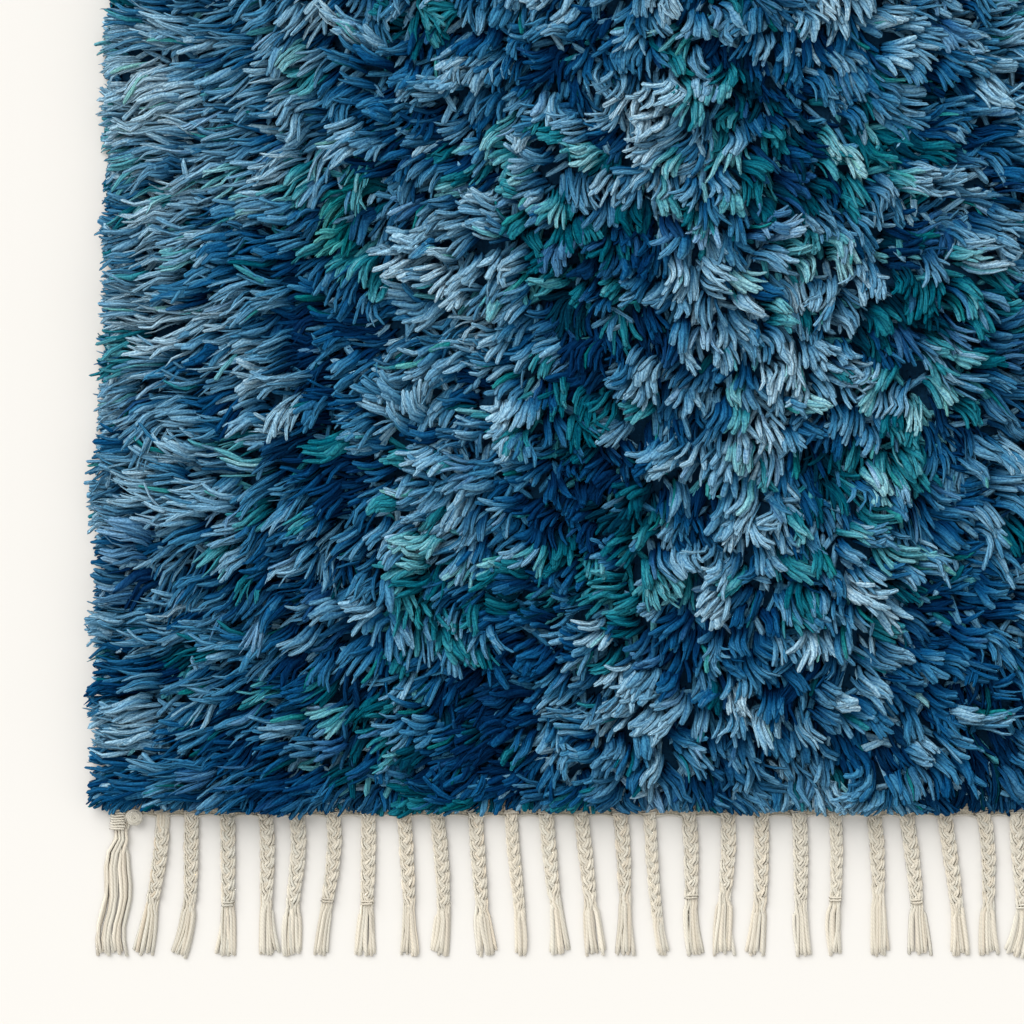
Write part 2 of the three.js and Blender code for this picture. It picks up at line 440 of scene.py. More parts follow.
@dataclass
class YarnMesh:
    """Gathers closed yarn tubes as arrays and joins them into one mesh."""

    points: list[Array] = field(default_factory=list)
    tints: list[Array] = field(default_factory=list)
    corners: list[Array] = field(default_factory=list)
    sizes: list[Array] = field(default_factory=list)
    maps: list[Array] = field(default_factory=list)
    count: int = 0
    triangles: int = 0

    def add(
        self,
        paths: Array,
        radii: Array,
        lateral: Array,
        tints: Array,
        roll: Array,
        flat: float = 1.0,
        sides: int = 3,
    ) -> None:
        """Adds tubes that share their number of rings and come to a point at each end.

        Args:
            paths: the first point, the ring centres and the last point, (tubes, rings + 2, 3).
            radii: ring radii, (tubes, rings).
            lateral: a direction across each tube, (tubes, 3).
            tints: colour and rise at each place of the paths, (tubes, rings + 2, 4).
            roll: each section's turn in radians, (tubes,).
            flat: the section's height against its width.
            sides: sides of the section.
        """
        tubes, stations = paths.shape[:2]
        rings = stations - 2
        tangent = unit(np.gradient(paths, axis=1))[:, 1:-1]
        lateral = lateral[:, None, :]
        across = unit(lateral - (lateral * tangent).sum(-1, keepdims=True) * tangent)
        over = np.cross(tangent, across) * flat
        angle = roll[:, None] + np.arange(sides) * (2 * math.pi / sides)
        ring = (
            across[:, :, None, :] * np.cos(angle)[:, None, :, None]
            + over[:, :, None, :] * np.sin(angle)[:, None, :, None]
        )
        skin = paths[:, 1:-1, None, :] + ring * radii[:, :, None, None]
        skin = skin.reshape(tubes, rings * sides, 3)
        self.points.append(np.concatenate([paths[:, :1], skin, paths[:, -1:]], axis=1).reshape(-1, 3))
        skin_tint = np.repeat(tints[:, 1:-1], sides, axis=1)
        self.tints.append(np.concatenate([tints[:, :1], skin_tint, tints[:, -1:]], axis=1).reshape(-1, 4))
        self._faces(paths, rings, sides)

    def _faces(self, paths: Array, rings: int, sides: int) -> None:
        """Adds the faces and the yarn map of tubes just added."""
        tubes = len(paths)
        each = rings * sides + 2
        start = self.count + np.arange(tubes)[:, None, None] * each
        step = np.linalg.norm(np.diff(paths, axis=1), axis=-1)
        reach = np.concatenate([np.zeros((tubes, 1)), np.cumsum(step, axis=1)], axis=1)
        k = np.arange(sides)
        after = (k + 1) % sides
        ring, side = (axis.ravel() for axis in np.meshgrid(np.arange(rings - 1), k, indexing="ij"))
        first = 1 + ring * sides
        quads = np.stack([first + side, first + (side + 1) % sides], 1)
        quads = np.concatenate([quads, quads[:, ::-1] + sides], 1)
        last = 1 + (rings - 1) * sides
        none = 0 * k
        walls = (
            quads,
            np.stack([side, side + 1, side + 1, side], 1),
            np.stack([ring, ring, ring + 1, ring + 1], 1) + 1,
        )
        root_cap = (
            np.stack([1 + after, 1 + k, none], 1),
            np.stack([k + 1, k, k + 0.5], 1),
            np.stack([none + 1, none + 1, none], 1),
        )
        tip_cap = (
            np.stack([last + k, last + after, none + each - 1], 1),
            np.stack([k, k + 1, k + 0.5], 1),
            np.stack([none + rings, none + rings, none + rings + 1], 1),
        )
        for local, u, station in (walls, root_cap, tip_cap):
            self.corners.append((start + local[None]).reshape(-1))
            self.sizes.append(np.full(tubes * len(local), local.shape[1]))
            along = reach[:, station.ravel()]
            around = np.broadcast_to(u.ravel() / sides, along.shape)
            self.maps.append(np.stack([around, along], -1).reshape(-1, 2))
        self.count += tubes * each
        self.triangles += tubes * 2 * rings * sides

    def build(self, name: str, material: bpy.types.Material) -> bpy.types.Object:
        """Makes the object from everything added so far."""
        mesh = bpy.data.meshes.new(name)
        points = np.concatenate(self.points)
        points[:, 2] = np.maximum(points[:, 2], FLOOR_GAP)
        corners = np.concatenate(self.corners)
        sizes = np.concatenate(self.sizes)
        mesh.vertices.add(len(points))
        mesh.vertices.foreach_set("co", points.astype(np.float32).ravel())
        mesh.loops.add(len(corners))
        mesh.loops.foreach_set("vertex_index", corners.astype(np.int32))
        mesh.polygons.add(len(sizes))
        starts = np.concatenate([[0], np.cumsum(sizes)[:-1]])
        mesh.polygons.foreach_set("loop_start", starts.astype(np.int32))
        mesh.update(calc_edges=True)
        mesh.validate()
        mesh.polygons.foreach_set("use_smooth", np.ones(len(sizes), bool))
        uv = mesh.uv_layers.new(name="yarn")
        uv.data.foreach_set("uv", np.concatenate(self.maps).astype(np.float32).ravel())
        tint = mesh.attributes.new("tint", "FLOAT_COLOR", "POINT")
        tint.data.foreach_set("color", np.concatenate(self.tints).astype(np.float32).ravel())
        return lay(mesh, material)


def settle(piece: bpy.types.Object, slot: str, *nodes: str) -> bpy.types.Object:
    """Puts a finished piece on the rug's body and hides the parts of the model that it stands for."""
    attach(piece, BODY)
    if nodes:
        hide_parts(*nodes)
    LOG.info("%s: %d faces, %d vertices", piece.name, len(piece.data.polygons), len(piece.data.vertices))
    return piece


# ---------------------------------------------------------------------------------- pile


class Dye(Enum):
    """Dye baths of the pile wool, each from its darkest to its palest shade."""

    BLUE = ((4, 34, 68), (8, 56, 99), (20, 89, 135), (62, 129, 165), (118, 168, 195), (154, 194, 213))
    TEAL = ((4, 37, 60), (4, 62, 83), (6, 94, 113), (40, 133, 149), (100, 171, 183), (150, 199, 207))
    GREEN = ((4, 41, 57), (4, 66, 78), (6, 98, 106), (30, 134, 140), (84, 169, 170), (138, 195, 193))
    GREY = ((6, 37, 68), (12, 60, 100), (38, 96, 133), (88, 142, 172), (134, 176, 197), (167, 199, 214))
    VIOLET = ((8, 36, 70), (14, 57, 101), (38, 92, 138), (80, 133, 169), (122, 166, 196), (156, 194, 214))


@dataclass(frozen=True)
class Hollow:
    """A place where the pile stands up short and shows its dark depth. Places are in metres."""

    x: float
    y: float
    radius: float
    depth: float


HOLLOWS = (
    Hollow(-0.048, -0.400, 0.058, 1.0),
    Hollow(0.080, -0.066, 0.040, 0.9),
    Hollow(-0.020, -0.220, 0.040, 0.6),
    Hollow(0.212, -0.500, 0.028, 0.8),
    Hollow(-0.290, -0.430, 0.030, 0.6),
    Hollow(-0.150, -0.585, 0.036, 0.5),
)


@dataclass(frozen=True)
class Patch:
    """A patch of paler or darker tufts, of one dye bath where it is named. Places are in mm."""

    x: float
    y: float
    radius: float
    tone: float
    dye: Dye | None = None


PATCHES = (
    # Pale tufts: the left side, the middle, the ridge right of it and the front edge.
    Patch(-412, -82, 50, 0.34, Dye.GREY),
    Patch(-398, -20, 46, 0.22, Dye.BLUE),
    Patch(-286, -108, 46, 0.27, Dye.GREY),
    Patch(-182, -84, 38, 0.22),
    Patch(-272, -24, 30, 0.30, Dye.GREY),
    Patch(-394, -166, 40, 0.26, Dye.GREY),
    Patch(-402, -258, 42, 0.22, Dye.GREY),
    Patch(-324, -310, 28, 0.44, Dye.GREY),
    Patch(-373, -548, 26, 0.24),
    Patch(-420, -604, 40, 0.32, Dye.BLUE),
    Patch(-170, -210, 50, 0.12, Dye.GREY),
    Patch(-132, -358, 28, 0.42, Dye.BLUE),
    Patch(-178, -406, 26, 0.20, Dye.GREY),
    Patch(-62, -504, 40, 0.18),
    Patch(-8, -100, 46, 0.22, Dye.GREY),
    Patch(60, -120, 28, 0.42),
    Patch(160, -114, 38, 0.28, Dye.TEAL),
    Patch(124, -22, 58, 0.28, Dye.GREY),
    Patch(56, -214, 42, 0.32, Dye.BLUE),
    Patch(146, -212, 40, 0.32, Dye.GREY),
    Patch(252, -210, 26, 0.30, Dye.GREY),
    Patch(94, -306, 42, 0.30, Dye.GREY),
    Patch(18, -342, 40, 0.18, Dye.GREY),
    Patch(84, -404, 34, 0.38, Dye.BLUE),
    Patch(256, -452, 28, 0.28, Dye.BLUE),
    Patch(182, -510, 30, 0.38, Dye.GREY),
    Patch(108, -650, 50, 0.40, Dye.GREY),
    # Green and teal tufts of a middle tone.
    Patch(-256, -166, 22, -0.02, Dye.GREEN),
    Patch(-328, -398, 22, 0.02, Dye.TEAL),
    Patch(-240, -590, 34, -0.02, Dye.TEAL),
    # Dark tufts: the column down the middle, its branches and the front corner.
    Patch(-226, -86, 42, -0.26, Dye.BLUE),
    Patch(-85, -48, 30, -0.28, Dye.BLUE),
    Patch(114, -76, 58, -0.28, Dye.BLUE),
    Patch(98, -162, 58, -0.31, Dye.TEAL),
    Patch(-373, -218, 26, -0.36, Dye.BLUE),
    Patch(-66, -206, 54, -0.28, Dye.TEAL),
    Patch(222, -256, 46, -0.28, Dye.TEAL),
    Patch(-272, -280, 38, -0.22, Dye.BLUE),
    Patch(-372, -306, 26, -0.48, Dye.BLUE),
    Patch(-62, -334, 44, -0.18, Dye.TEAL),
    Patch(-280, -390, 40, -0.32, Dye.BLUE),
    Patch(-60, -408, 48, -0.26, Dye.BLUE),
    Patch(-48, -456, 46, -0.18, Dye.TEAL),
    Patch(-278, -552, 28, -0.22),
    Patch(-118, -538, 46, -0.32, Dye.BLUE),
    Patch(-336, -616, 46, -0.30, Dye.BLUE),
    Patch(84, -504, 36, -0.20),
    Patch(-150, -608, 50, -0.34, Dye.BLUE),
    Patch(268, -552, 42, -0.28),
)


@dataclass
class NapField:
    """Which way the pile lies at each point: off a ridge to the sides, and towards the nearer end."""

    ridge: float = 0.05
    middle: float = 0.12
    side_reach: float = 0.39
    end_pull: float = 0.3
    end_blend: float = 0.12
    swirl: float = 0.42
    swirl_cell: float = 0.16
    seed: int = 31

    def heading(self, x: Array, y: Array) -> Array:
        """The pile's heading in radians at each point."""
        noise = SmoothNoise(self.seed, self.swirl_cell)
        sideways = (x - self.ridge) / self.side_reach
        endways = self.end_pull * np.tanh((y - self.middle) / self.end_blend)
        turned = np.arctan2(endways, sideways) + self.swirl * noise(x, y)
        return np.angle(np.exp(1j * turned))


@dataclass(frozen=True)
class Habit:
    """A measure of the pile where it lies wild, in the middle, and where it is combed, at the sides."""

    wild: float
    combed: float

    def at(self, neat: Array) -> Array:
        """The measure by how neatly the pile lies, from 0, wild, to 1, combed."""
        return self.wild + (self.combed - self.wild) * neat


@dataclass
class Locks:
    """Arrays of one value for each lock, the bunch that neighbouring tufts fall into."""

    heading: Array
    loft: Array
    bend: Array
    splay: Array


@dataclass
class Tufts:
    """Arrays of one value for each knot's tuft. Rise and droop are in degrees, other angles in radians."""

    place: Array
    lock: Array
    neat: Array
    heading: Array
    rise: Array
    droop: Array
    size: Array
    height: Array
    bulk: Array
    fan: Array
    curl: Array
    bath: Array
    tone: Array


@dataclass
class Strands:
    """Arrays of one value for each strand of pile yarn, with its angles in radians."""

    root: Array
    heading: Array
    turn: Array
    rise: Array
    droop: Array
    length: Array
    height: Array
    lock: Array
    bath: Array
    tone: Array
    fade: Array
    radius: Array
    wisp: Array

    def part(self, chosen: Array) -> "Strands":
        """The strands that a mask or an index list picks."""
        return Strands(**{name: value[chosen] for name, value in vars(self).items()})


@dataclass(frozen=True)
class Section:
    """Where a strand's end points and rings stand, as shares of its length, and the rings' taper."""

    places: tuple[float, ...]
    taper: tuple[float, ...]


FINE = Section((0, 0.2, 0.4, 0.6, 0.8, 0.965, 1), (0.82, 1, 1.05, 0.98, 0.72))
PLAIN = Section((0, 0.36, 0.72, 0.96, 1), (0.88, 1.04, 0.78))
DEEP = Section((0, 0.3, 0.9, 1), (1, 0.8))


@dataclass
class Pile:
    """The shag pile: knotted tufts of twisted wool that fall over each other in locks."""

    width: float
    length: float
    ground_top: float = 2.2 * MM
    knot_pitch_x: float = 16.5 * MM
    knot_pitch_y: float = 16.5 * MM
    edge_pitch: float = 10 * MM
    strands_per_knot: int = 7
    knot_radius: float = 5.5 * MM
    lock_pitch: float = 38 * MM
    yarn: Habit = Habit(2.55 * MM, 2.1 * MM)
    yarn_flatness: float = 0.48
    deep_pitch: float = 13.5 * MM
    deep_yarn: float = 3.5 * MM
    deep_length: float = 36 * MM
    strand: Habit = Habit(44 * MM, 56 * MM)
    edge_length: float = 38 * MM
    # Degrees: how locks and tufts turn aside, rise at the root and droop at the tip.
    lock_swing: Habit = Habit(21, 9)
    lock_bend: Habit = Habit(38, 16)
    tuft_swing: Habit = Habit(17, 8)
    tuft_rise: Habit = Habit(74, 66)
    tuft_droop: Habit = Habit(19, 8)
    tuft_curl: Habit = Habit(26, 11)
    parted_swing: float = 75
    parted_rise: float = 4
    parted_droop: float = 8
    loft_rise: float = 4
    loft_droop: float = 8
    ahead_droop: float = 8
    hollow_droop: float = 8
    lock_splay: float = 10
    # Shares of a turn, a length or a height.
    follow_lock: float = 0.8
    follow_edge: float = 0.7
    tip_share: float = 0.6
    parted_short: float = 0.12
    hollow_short: float = 0.12
    hollow_low: float = 0.14
    loft_high: float = 0.17
    # How the pile keeps below its top and above the floor, and how far it hangs over.
    top: float = 37 * MM
    top_ease: float = 4 * MM
    heading_lift: float = 4.8 * MM
    side_overhang: float = 18 * MM
    end_overhang: float = 14.5 * MM
    edge_inset: float = 7 * MM
    most_shortened: float = 0.52
    steepest_droop: float = -78
    wave_cell: float = 17 * MM
    wave_reach: float = 5.2 * MM
    side_layers: tuple[Mottle, ...] = (Mottle(2.5, 55, 0.045), Mottle(4.5, 57, 0.011))
    end_layers: tuple[Mottle, ...] = (Mottle(1.5, 56, 0.040), Mottle(2.2, 58, 0.011))
    # Dye tones from 0, darkest, to 1, palest, and the drift from one bath to the next; the end and depth
    # tones are painted shade, and the hollows are darker.
    base_tone: float = 0.682
    hollow_tone: float = 0.12
    tone_layers: tuple[Mottle, ...] = (
        Mottle(0.08, 101, 0.070),
        Mottle(0.18, 102, 0.030),
        Mottle(0.20, 105, 0.017),
    )
    end_shade: float = 0.24
    end_shade_depth: float = 55 * MM
    drift_layers: tuple[Mottle, ...] = (Mottle(0.9, 103, 0.09), Mottle(0.7, 104, 0.035))
    teal_above: float = 0.75
    grey_below: float = -0.40
    violet_below: float = -1.10
    patch_strength: float = 1.22
    patch_cover: float = 0.9
    stray_dye: float = 0.07
    # Painted shade low in the pile, full below the first height and gone above the second, away from the
    # edges.
    depth_shade: float = 0.26
    light_reach: tuple[float, float] = (14 * MM, 32 * MM)
    # The corner whose strands have finer sections, and how the pile is divided into meshes.
    fine_corner: tuple[float, float] = (0.31, 0.03)
    bands: int = 5
    steps: int = 25
    seed: int = 7

    def __post_init__(self) -> None:
        """Sets up the random source and the lie of the pile."""
        self.random = np.random.default_rng(self.seed)
        self.nap = NapField()

    def bell(self, count: int) -> Array:
        """Normal deviates without their long tails."""
        return np.clip(self.random.normal(0, 1, count), -1.7, 1.7)

    # ---- places

    def knots(self) -> tuple[Array, Array]:
        """Knot places in woven rows, a little uneven, and a closer row round the edge.

        Returns:
            The places, (knots, 2), and which of them stand in the edge row, (knots,).
        """
        half = np.array([self.width / 2, self.length / 2]) - self.edge_inset
        columns = round(2 * half[0] / self.knot_pitch_x) + 1
        rows = round(2 * half[1] / self.knot_pitch_y) + 1
        x, y = np.meshgrid(np.linspace(-half[0], half[0], columns), np.linspace(-half[1], half[1], rows))
        x = x + np.where(np.arange(rows) % 2, 0.25, -0.25)[:, None] * self.knot_pitch_x
        field_places = np.stack([x.ravel(), y.ravel()], 1)
        field_places += self.random.uniform(-0.32, 0.32, field_places.shape) * self.knot_pitch_y
        thin = field_places[self.turmoil(field_places) > 0.35]
        field_places = np.concatenate([field_places, thin + self.random.uniform(-6, 6, thin.shape) * MM])
        outer = half + 0.6 * self.edge_inset
        along_x = np.arange(-outer[0], outer[0], self.edge_pitch)
        along_y = np.arange(-outer[1], outer[1], self.edge_pitch)
        edge = [np.stack([along_x, np.full_like(along_x, side * outer[1])], 1) for side in (-1, 1)]
        edge += [np.stack([np.full_like(along_y, side * outer[0]), along_y], 1) for side in (-1, 1)]
        edge_places = np.concatenate(edge)
        edge_places += self.random.uniform(-0.3, 0.3, edge_places.shape) * self.edge_pitch
        places = np.clip(np.concatenate([field_places, edge_places]), -outer, outer)
        return places, np.arange(len(places)) >= len(field_places)

    def lock_places(self) -> Array:
        """Centres of the locks that neighbouring tufts fall into, (locks, 2)."""
        columns = math.ceil(self.width / self.lock_pitch)
        rows = math.ceil(self.length / self.lock_pitch)
        x = (np.arange(columns) + 0.5) * self.lock_pitch - columns * self.lock_pitch / 2
        y = (np.arange(rows) + 0.5) * self.lock_pitch - rows * self.lock_pitch / 2
        x, y = np.meshgrid(x, y)
        places = np.stack([x.ravel(), y.ravel()], 1)
        return places + self.random.uniform(-0.5, 0.5, places.shape) * self.lock_pitch

    def hollow_at(self, x: Array, y: Array) -> Array:
        """How much each point lies in a hollow of the pile, from 0 to 1."""
        total = np.zeros(len(x))
        for hollow in HOLLOWS:
            far = np.hypot(x - hollow.x, y - hollow.y) / hollow.radius
            total = np.maximum(total, hollow.depth * (1 - smooth(far, 0.45, 1.25)))
        return total

    def combed(self, x: Array) -> Array:
        """How neatly the pile lies: 1 towards the sides, 0 in the middle."""
        return smooth(np.abs(x), 0.14, 0.36)

    # ---- strands

    def turmoil(self, knots: Array) -> Array:
        """How much the nap parts at each knot, from 0, none, to 1, where the pile stands up."""
        near = 22 * MM * np.array([(1, 0), (-1, 0), (0, 1), (0, -1)])
        headings = [self.nap.heading(*(knots + step).T) for step in near]
        together = np.abs(np.mean(np.exp(1j * np.array(headings)), axis=0))
        return smooth(1 - together, 0.02, 0.3)

    def outward(self, knots: Array) -> Array:
        """Heading straight out over the nearest edge."""
        gap_x = self.width / 2 - np.abs(knots[:, 0])
        gap_y = self.length / 2 - np.abs(knots[:, 1])
        side = np.where(knots[:, 0] > 0, 0.0, math.pi)
        end = np.where(knots[:, 1] > 0, 0.5, -0.5) * math.pi
        return np.angle(np.exp(1j * side) * gap_y + np.exp(1j * end) * gap_x)

    def locks(self, places: Array) -> Locks:
        """How each lock lies at its place."""
        neat = self.combed(places[:, 0])
        count = len(places)
        return Locks(
            heading=self.nap.heading(*places.T) + self.bell(count) * np.radians(self.lock_swing.at(neat)),
            loft=self.bell(count),
            bend=self.bell(count) * np.radians(self.lock_bend.at(neat)),
            splay=self.random.uniform(-0.2, 1.0, count),
        )

    def tufts(self) -> tuple[Tufts, Locks]:
        """Every knot's tuft, and the locks that they fall into."""
        rnd = self.random
        places = self.lock_places()
        knots, edge = self.knots()
        count = len(knots)
        lock = np.linalg.norm(knots[:, None] - places[None], axis=-1).argmin(1)
        neat = self.combed(knots[:, 0])
        hollow = self.hollow_at(*knots.T)
        parted = self.turmoil(knots)
        locks = self.locks(places)
        facing = locks.heading[lock]
        loft = locks.loft[lock]

        offset = (knots - places[lock]) / (self.lock_pitch / 2)
        ahead = offset[:, 0] * np.cos(facing) + offset[:, 1] * np.sin(facing)
        aside = offset[:, 1] * np.cos(facing) - offset[:, 0] * np.sin(facing)
        start = self.nap.heading(*knots.T)
        lead = self.tip_share * self.strand.at(neat)[:, None]
        own = self.nap.heading(*(knots + lead * arrow(start)).T)
        heading = own + self.follow_lock * turn_to(facing, own)
        heading = heading + np.radians(self.lock_splay) * aside * locks.splay[lock]
        swing = self.tuft_swing.at(neat) + self.parted_swing * parted
        heading = heading + self.bell(count) * np.radians(swing)
        heading = heading + np.where(edge, self.follow_edge, 0) * turn_to(self.outward(knots), heading)

        rise = self.tuft_rise.at(neat) + self.loft_rise * loft + rnd.normal(0, 4, count)
        rise = rise + self.parted_rise * parted
        droop = self.tuft_droop.at(neat) - self.ahead_droop * ahead + self.loft_droop * loft
        droop = droop + 7 * self.bell(count) + self.hollow_droop * hollow + self.parted_droop * parted
        size = np.where(edge, self.edge_length, self.strand.at(neat) * (1 - self.hollow_short * hollow))
        size = size * (1 - self.parted_short * parted + rnd.normal(0, 0.05, count))
        height = 1 + self.loft_high * loft - self.hollow_low * hollow + rnd.normal(0, 0.04, count)
        bulk = rnd.uniform(0.85, 1.3, count)
        fan = np.radians(rnd.uniform(2, 12, count) * (1 - 0.45 * neat))
        curl = np.radians(self.bell(count) * self.tuft_curl.at(neat))
        bath, tone = self.dye_tufts(knots + self.tip_share * size[:, None] * arrow(heading), hollow)
        tufts = Tufts(knots, lock, neat, heading, rise, droop, size, height, bulk, fan, curl, bath, tone)
        return tufts, locks

    def strands(self) -> Strands:
        """Every strand of the pile, before it is shaped."""
        rnd = self.random
        tufts, locks = self.tufts()
        knots = len(tufts.place)
        many = np.repeat(np.arange(knots), self.strands_per_knot)
        count = len(many)
        seat = np.tile(np.linspace(-1, 1, self.strands_per_knot), knots) + rnd.uniform(-0.14, 0.14, count)
        way = arrow(tufts.heading)[many]
        side = np.stack([-way[:, 1], way[:, 0]], 1)
        in_knot = seat[:, None] * side + rnd.uniform(-0.8, 0.8, (count, 1)) * way
        root = tufts.place[many] + self.knot_radius * in_knot
        limit = np.array([self.width, self.length]) / 2 - 1.5 * MM
        odd = rnd.uniform(0, 1, count) < self.stray_dye
        thickness = self.yarn.at(tufts.neat[many]) * tufts.bulk[many]
        bend = locks.bend[tufts.lock][many]
        loft = locks.loft[tufts.lock][many]
        return Strands(
            root=np.clip(root, -limit, limit),
            heading=tufts.heading[many] + tufts.fan[many] * seat + rnd.normal(0, np.radians(3), count),
            turn=bend + tufts.curl[many] * seat + rnd.normal(0, np.radians(13), count),
            rise=np.radians(tufts.rise[many] + rnd.normal(0, 4, count)),
            droop=np.radians(tufts.droop[many] + rnd.normal(0, 5, count)),
            length=tufts.size[many] * (1 - 0.08 * seat**2 + rnd.normal(0, 0.06, count)),
            height=tufts.height[many] + 0.04 * (1 - seat**2),
            lock=tufts.lock[many],
            bath=np.where(odd, rnd.integers(0, len(Dye), count), tufts.bath[many]),
            # Painted light: higher, lofted locks are a little paler.
            tone=tufts.tone[many] + 0.05 * loft + rnd.normal(0, 0.06, count),
            fade=np.abs(rnd.normal(0.115, 0.06, knots))[many],
            radius=thickness * np.clip(1 + rnd.normal(0, 0.18, count), 0.6, 1.5),
            wisp=rnd.uniform(0, 0.8, count) + 0.25 * tufts.neat[many],
        )

    def deep_strands(self) -> Strands:
        """The short, dark tufts low in the pile that hide the ground."""
        rnd = self.random
        half = np.array([self.width, self.length]) / 2 - self.edge_inset
        across, along = (np.arange(-h, h, self.deep_pitch) for h in half)
        x, y = np.meshgrid(across, along)
        root = np.stack([x.ravel(), y.ravel()], 1)
        root += rnd.uniform(-0.4, 0.4, root.shape) * self.deep_pitch
        count = len(root)
        bath, tone = self.dye_tufts(root, np.zeros(count))
        return Strands(
            root=root,
            heading=self.nap.heading(*root.T) + rnd.normal(0, np.radians(40), count),
            turn=rnd.normal(0, np.radians(20), count),
            rise=np.radians(rnd.uniform(45, 65, count)),
            droop=np.radians(rnd.uniform(-6, 8, count)),
            length=self.deep_length * rnd.uniform(0.85, 1.15, count),
            height=np.ones(count),
            lock=np.zeros(count, int),
            bath=bath,
            tone=0.5 * tone + 0.58,
            fade=np.zeros(count),
            radius=self.deep_yarn * rnd.uniform(0.85, 1.1, count),
            wisp=np.zeros(count),
        )

    def dye_tufts(self, shown: Array, hollow: Array) -> tuple[Array, Array]:
        """Dye bath and tone of each tuft, darker towards the ends with painted shade.

        Args:
            shown: where the tuft's tips lie, (knots, 2).
            hollow: how deep in a hollow it stands, (knots,).

        Returns:
            The bath's number and the tone from 0, darkest, to 1, palest.
        """
        rnd = self.random
        x, y = shown.T
        tone = sum((layer.at(x, y) for layer in self.tone_layers), self.base_tone)
        tone = tone + 0.09 * self.bell(len(x)) - self.hollow_tone * hollow
        # Painted shade: tufts darken towards the ends, where the pile rounds over the edge.
        tone = tone - self.end_shade * smooth(np.abs(y), self.length / 2 - self.end_shade_depth, self.length / 2)
        drift = sum(layer.at(x, y) for layer in self.drift_layers)
        drift = drift + rnd.normal(0, 0.45, len(x))
        number = {dye: place for place, dye in enumerate(Dye)}
        levels = [drift > self.teal_above, drift < self.violet_below, drift < self.grey_below]
        choices = [number[dye] for dye in (Dye.TEAL, Dye.VIOLET, Dye.GREY)]
        bath = np.select(levels, choices, number[Dye.BLUE])
        for patch in PATCHES:
            far = np.hypot(x - patch.x * MM, y - patch.y * MM) / (patch.radius * MM)
            weight = np.exp(-(far**2))
            tone = tone + self.patch_strength * patch.tone * weight
            if patch.dye:
                dyed = rnd.uniform(0, 1, len(x)) < weight * self.patch_cover
                bath = np.where(dyed, number[patch.dye], bath)
        return bath, tone

    # ---- shaping

    def outline(self, s: Strands) -> Array:
        """How far from the middle, across and along, each strand's tip may lie, (strands, 2)."""
        x, y = s.root.T
        flare = smooth(np.abs(y) / (self.length / 2), 0.15, 0.85)
        side = self.side_overhang * (0.31 + 0.69 * flare)
        side = side + MM * sum(layer.at(0 * y, y) for layer in self.side_layers)
        end = self.end_overhang + MM * sum(layer.at(x, 0 * x) for layer in self.end_layers)
        uneven = -np.abs(self.random.normal(0, 3.2, len(x)))
        stray = self.random.uniform(0, 1, len(x)) < 0.07
        uneven = MM * np.where(stray, self.random.uniform(0.5, 4.5, len(x)), uneven)
        return np.stack([self.width / 2 + side + uneven, self.length / 2 + end + 0.6 * uneven], 1)

    def fit_to_edges(self, s: Strands, outline: Array) -> None:
        """Shortens and bends down the strands that would reach past the pile's outline, and paints shade on
        those bent down over the ends.
        """
        way = arrow(s.heading + s.turn / 2)
        room = (outline - np.sign(way) * s.root) / np.maximum(np.abs(way), 1e-3)
        tight = np.clip(1 - room.min(1) / (0.76 * s.length), 0, 1)
        s.length *= 1 - self.most_shortened * tight
        bend = np.radians(62 + 33 * np.abs(way[:, 1])) * smooth(tight, 0.0, 0.75)
        s.droop = np.maximum(s.droop - bend, np.radians(self.steepest_droop))
        s.wisp = np.maximum(s.wisp, 0.8 * smooth(tight, 0.02, 0.3))
        # Painted shade on the strands bent down over the ends.
        s.tone -= 0.12 * smooth(tight, 0.1, 0.7) * (np.abs(way[:, 1]) > 0.5)

    def hem(self, s: Strands, line: Array, outline: Array) -> Array:
        """Draws in the strands that still pass the outline."""
        root = s.root[:, None]
        reach = np.abs(line[:, :, :2]).max(1) - np.abs(s.root)
        share = (outline - np.abs(s.root)) / np.maximum(reach, 1e-6)
        share = np.clip(share.min(1), 0, 1)[:, None, None]
        line[:, :, :2] = root + (line[:, :, :2] - root) * share
        return line

    def paths(self, s: Strands) -> Array:
        """Fine centre lines of the strands, (strands, steps, 3)."""
        t = np.linspace(0, 1, self.steps)[None]
        pitch = s.droop[:, None] + (s.rise - s.droop)[:, None] * (1 - t) ** 1.5
        heading = s.heading[:, None] + s.turn[:, None] * t**1.3
        level = np.cos(pitch)
        climb = np.sin(pitch) * s.height[:, None]
        way = np.stack([level * np.cos(heading), level * np.sin(heading), climb], -1)
        stride = (way[:, 1:] + way[:, :-1]) / 2 * (s.length / (self.steps - 1))[:, None, None]
        line = np.concatenate([np.zeros((len(stride), 1, 3)), np.cumsum(stride, axis=1)], axis=1)
        start = np.concatenate([s.root, np.full((len(stride), 1), self.ground_top)], 1)
        return line + start[:, None]

    def gather(self, s: Strands, line: Array) -> Array:
        """Draws the strands of each lock together part of the way up; some locks open again."""
        locks = s.lock.max() + 1
        members = np.bincount(s.lock, minlength=locks)[:, None, None]
        total = np.zeros((locks, self.steps, 3))
        np.add.at(total, s.lock, line)
        middle = total / np.maximum(members, 1)
        t = np.linspace(0, 1, self.steps)[None]
        opens = self.random.uniform(0.0, 1.0, locks)[:, None]
        grip = self.random.uniform(0.0, 0.24, locks)[:, None] * smooth(t, 0.1, 0.6)
        grip = (grip * (1 - 0.75 * opens * smooth(t, 0.55, 1.0)))[s.lock][:, :, None]
        return line + (middle[s.lock] - line) * grip * np.array([1, 1, 0.3])

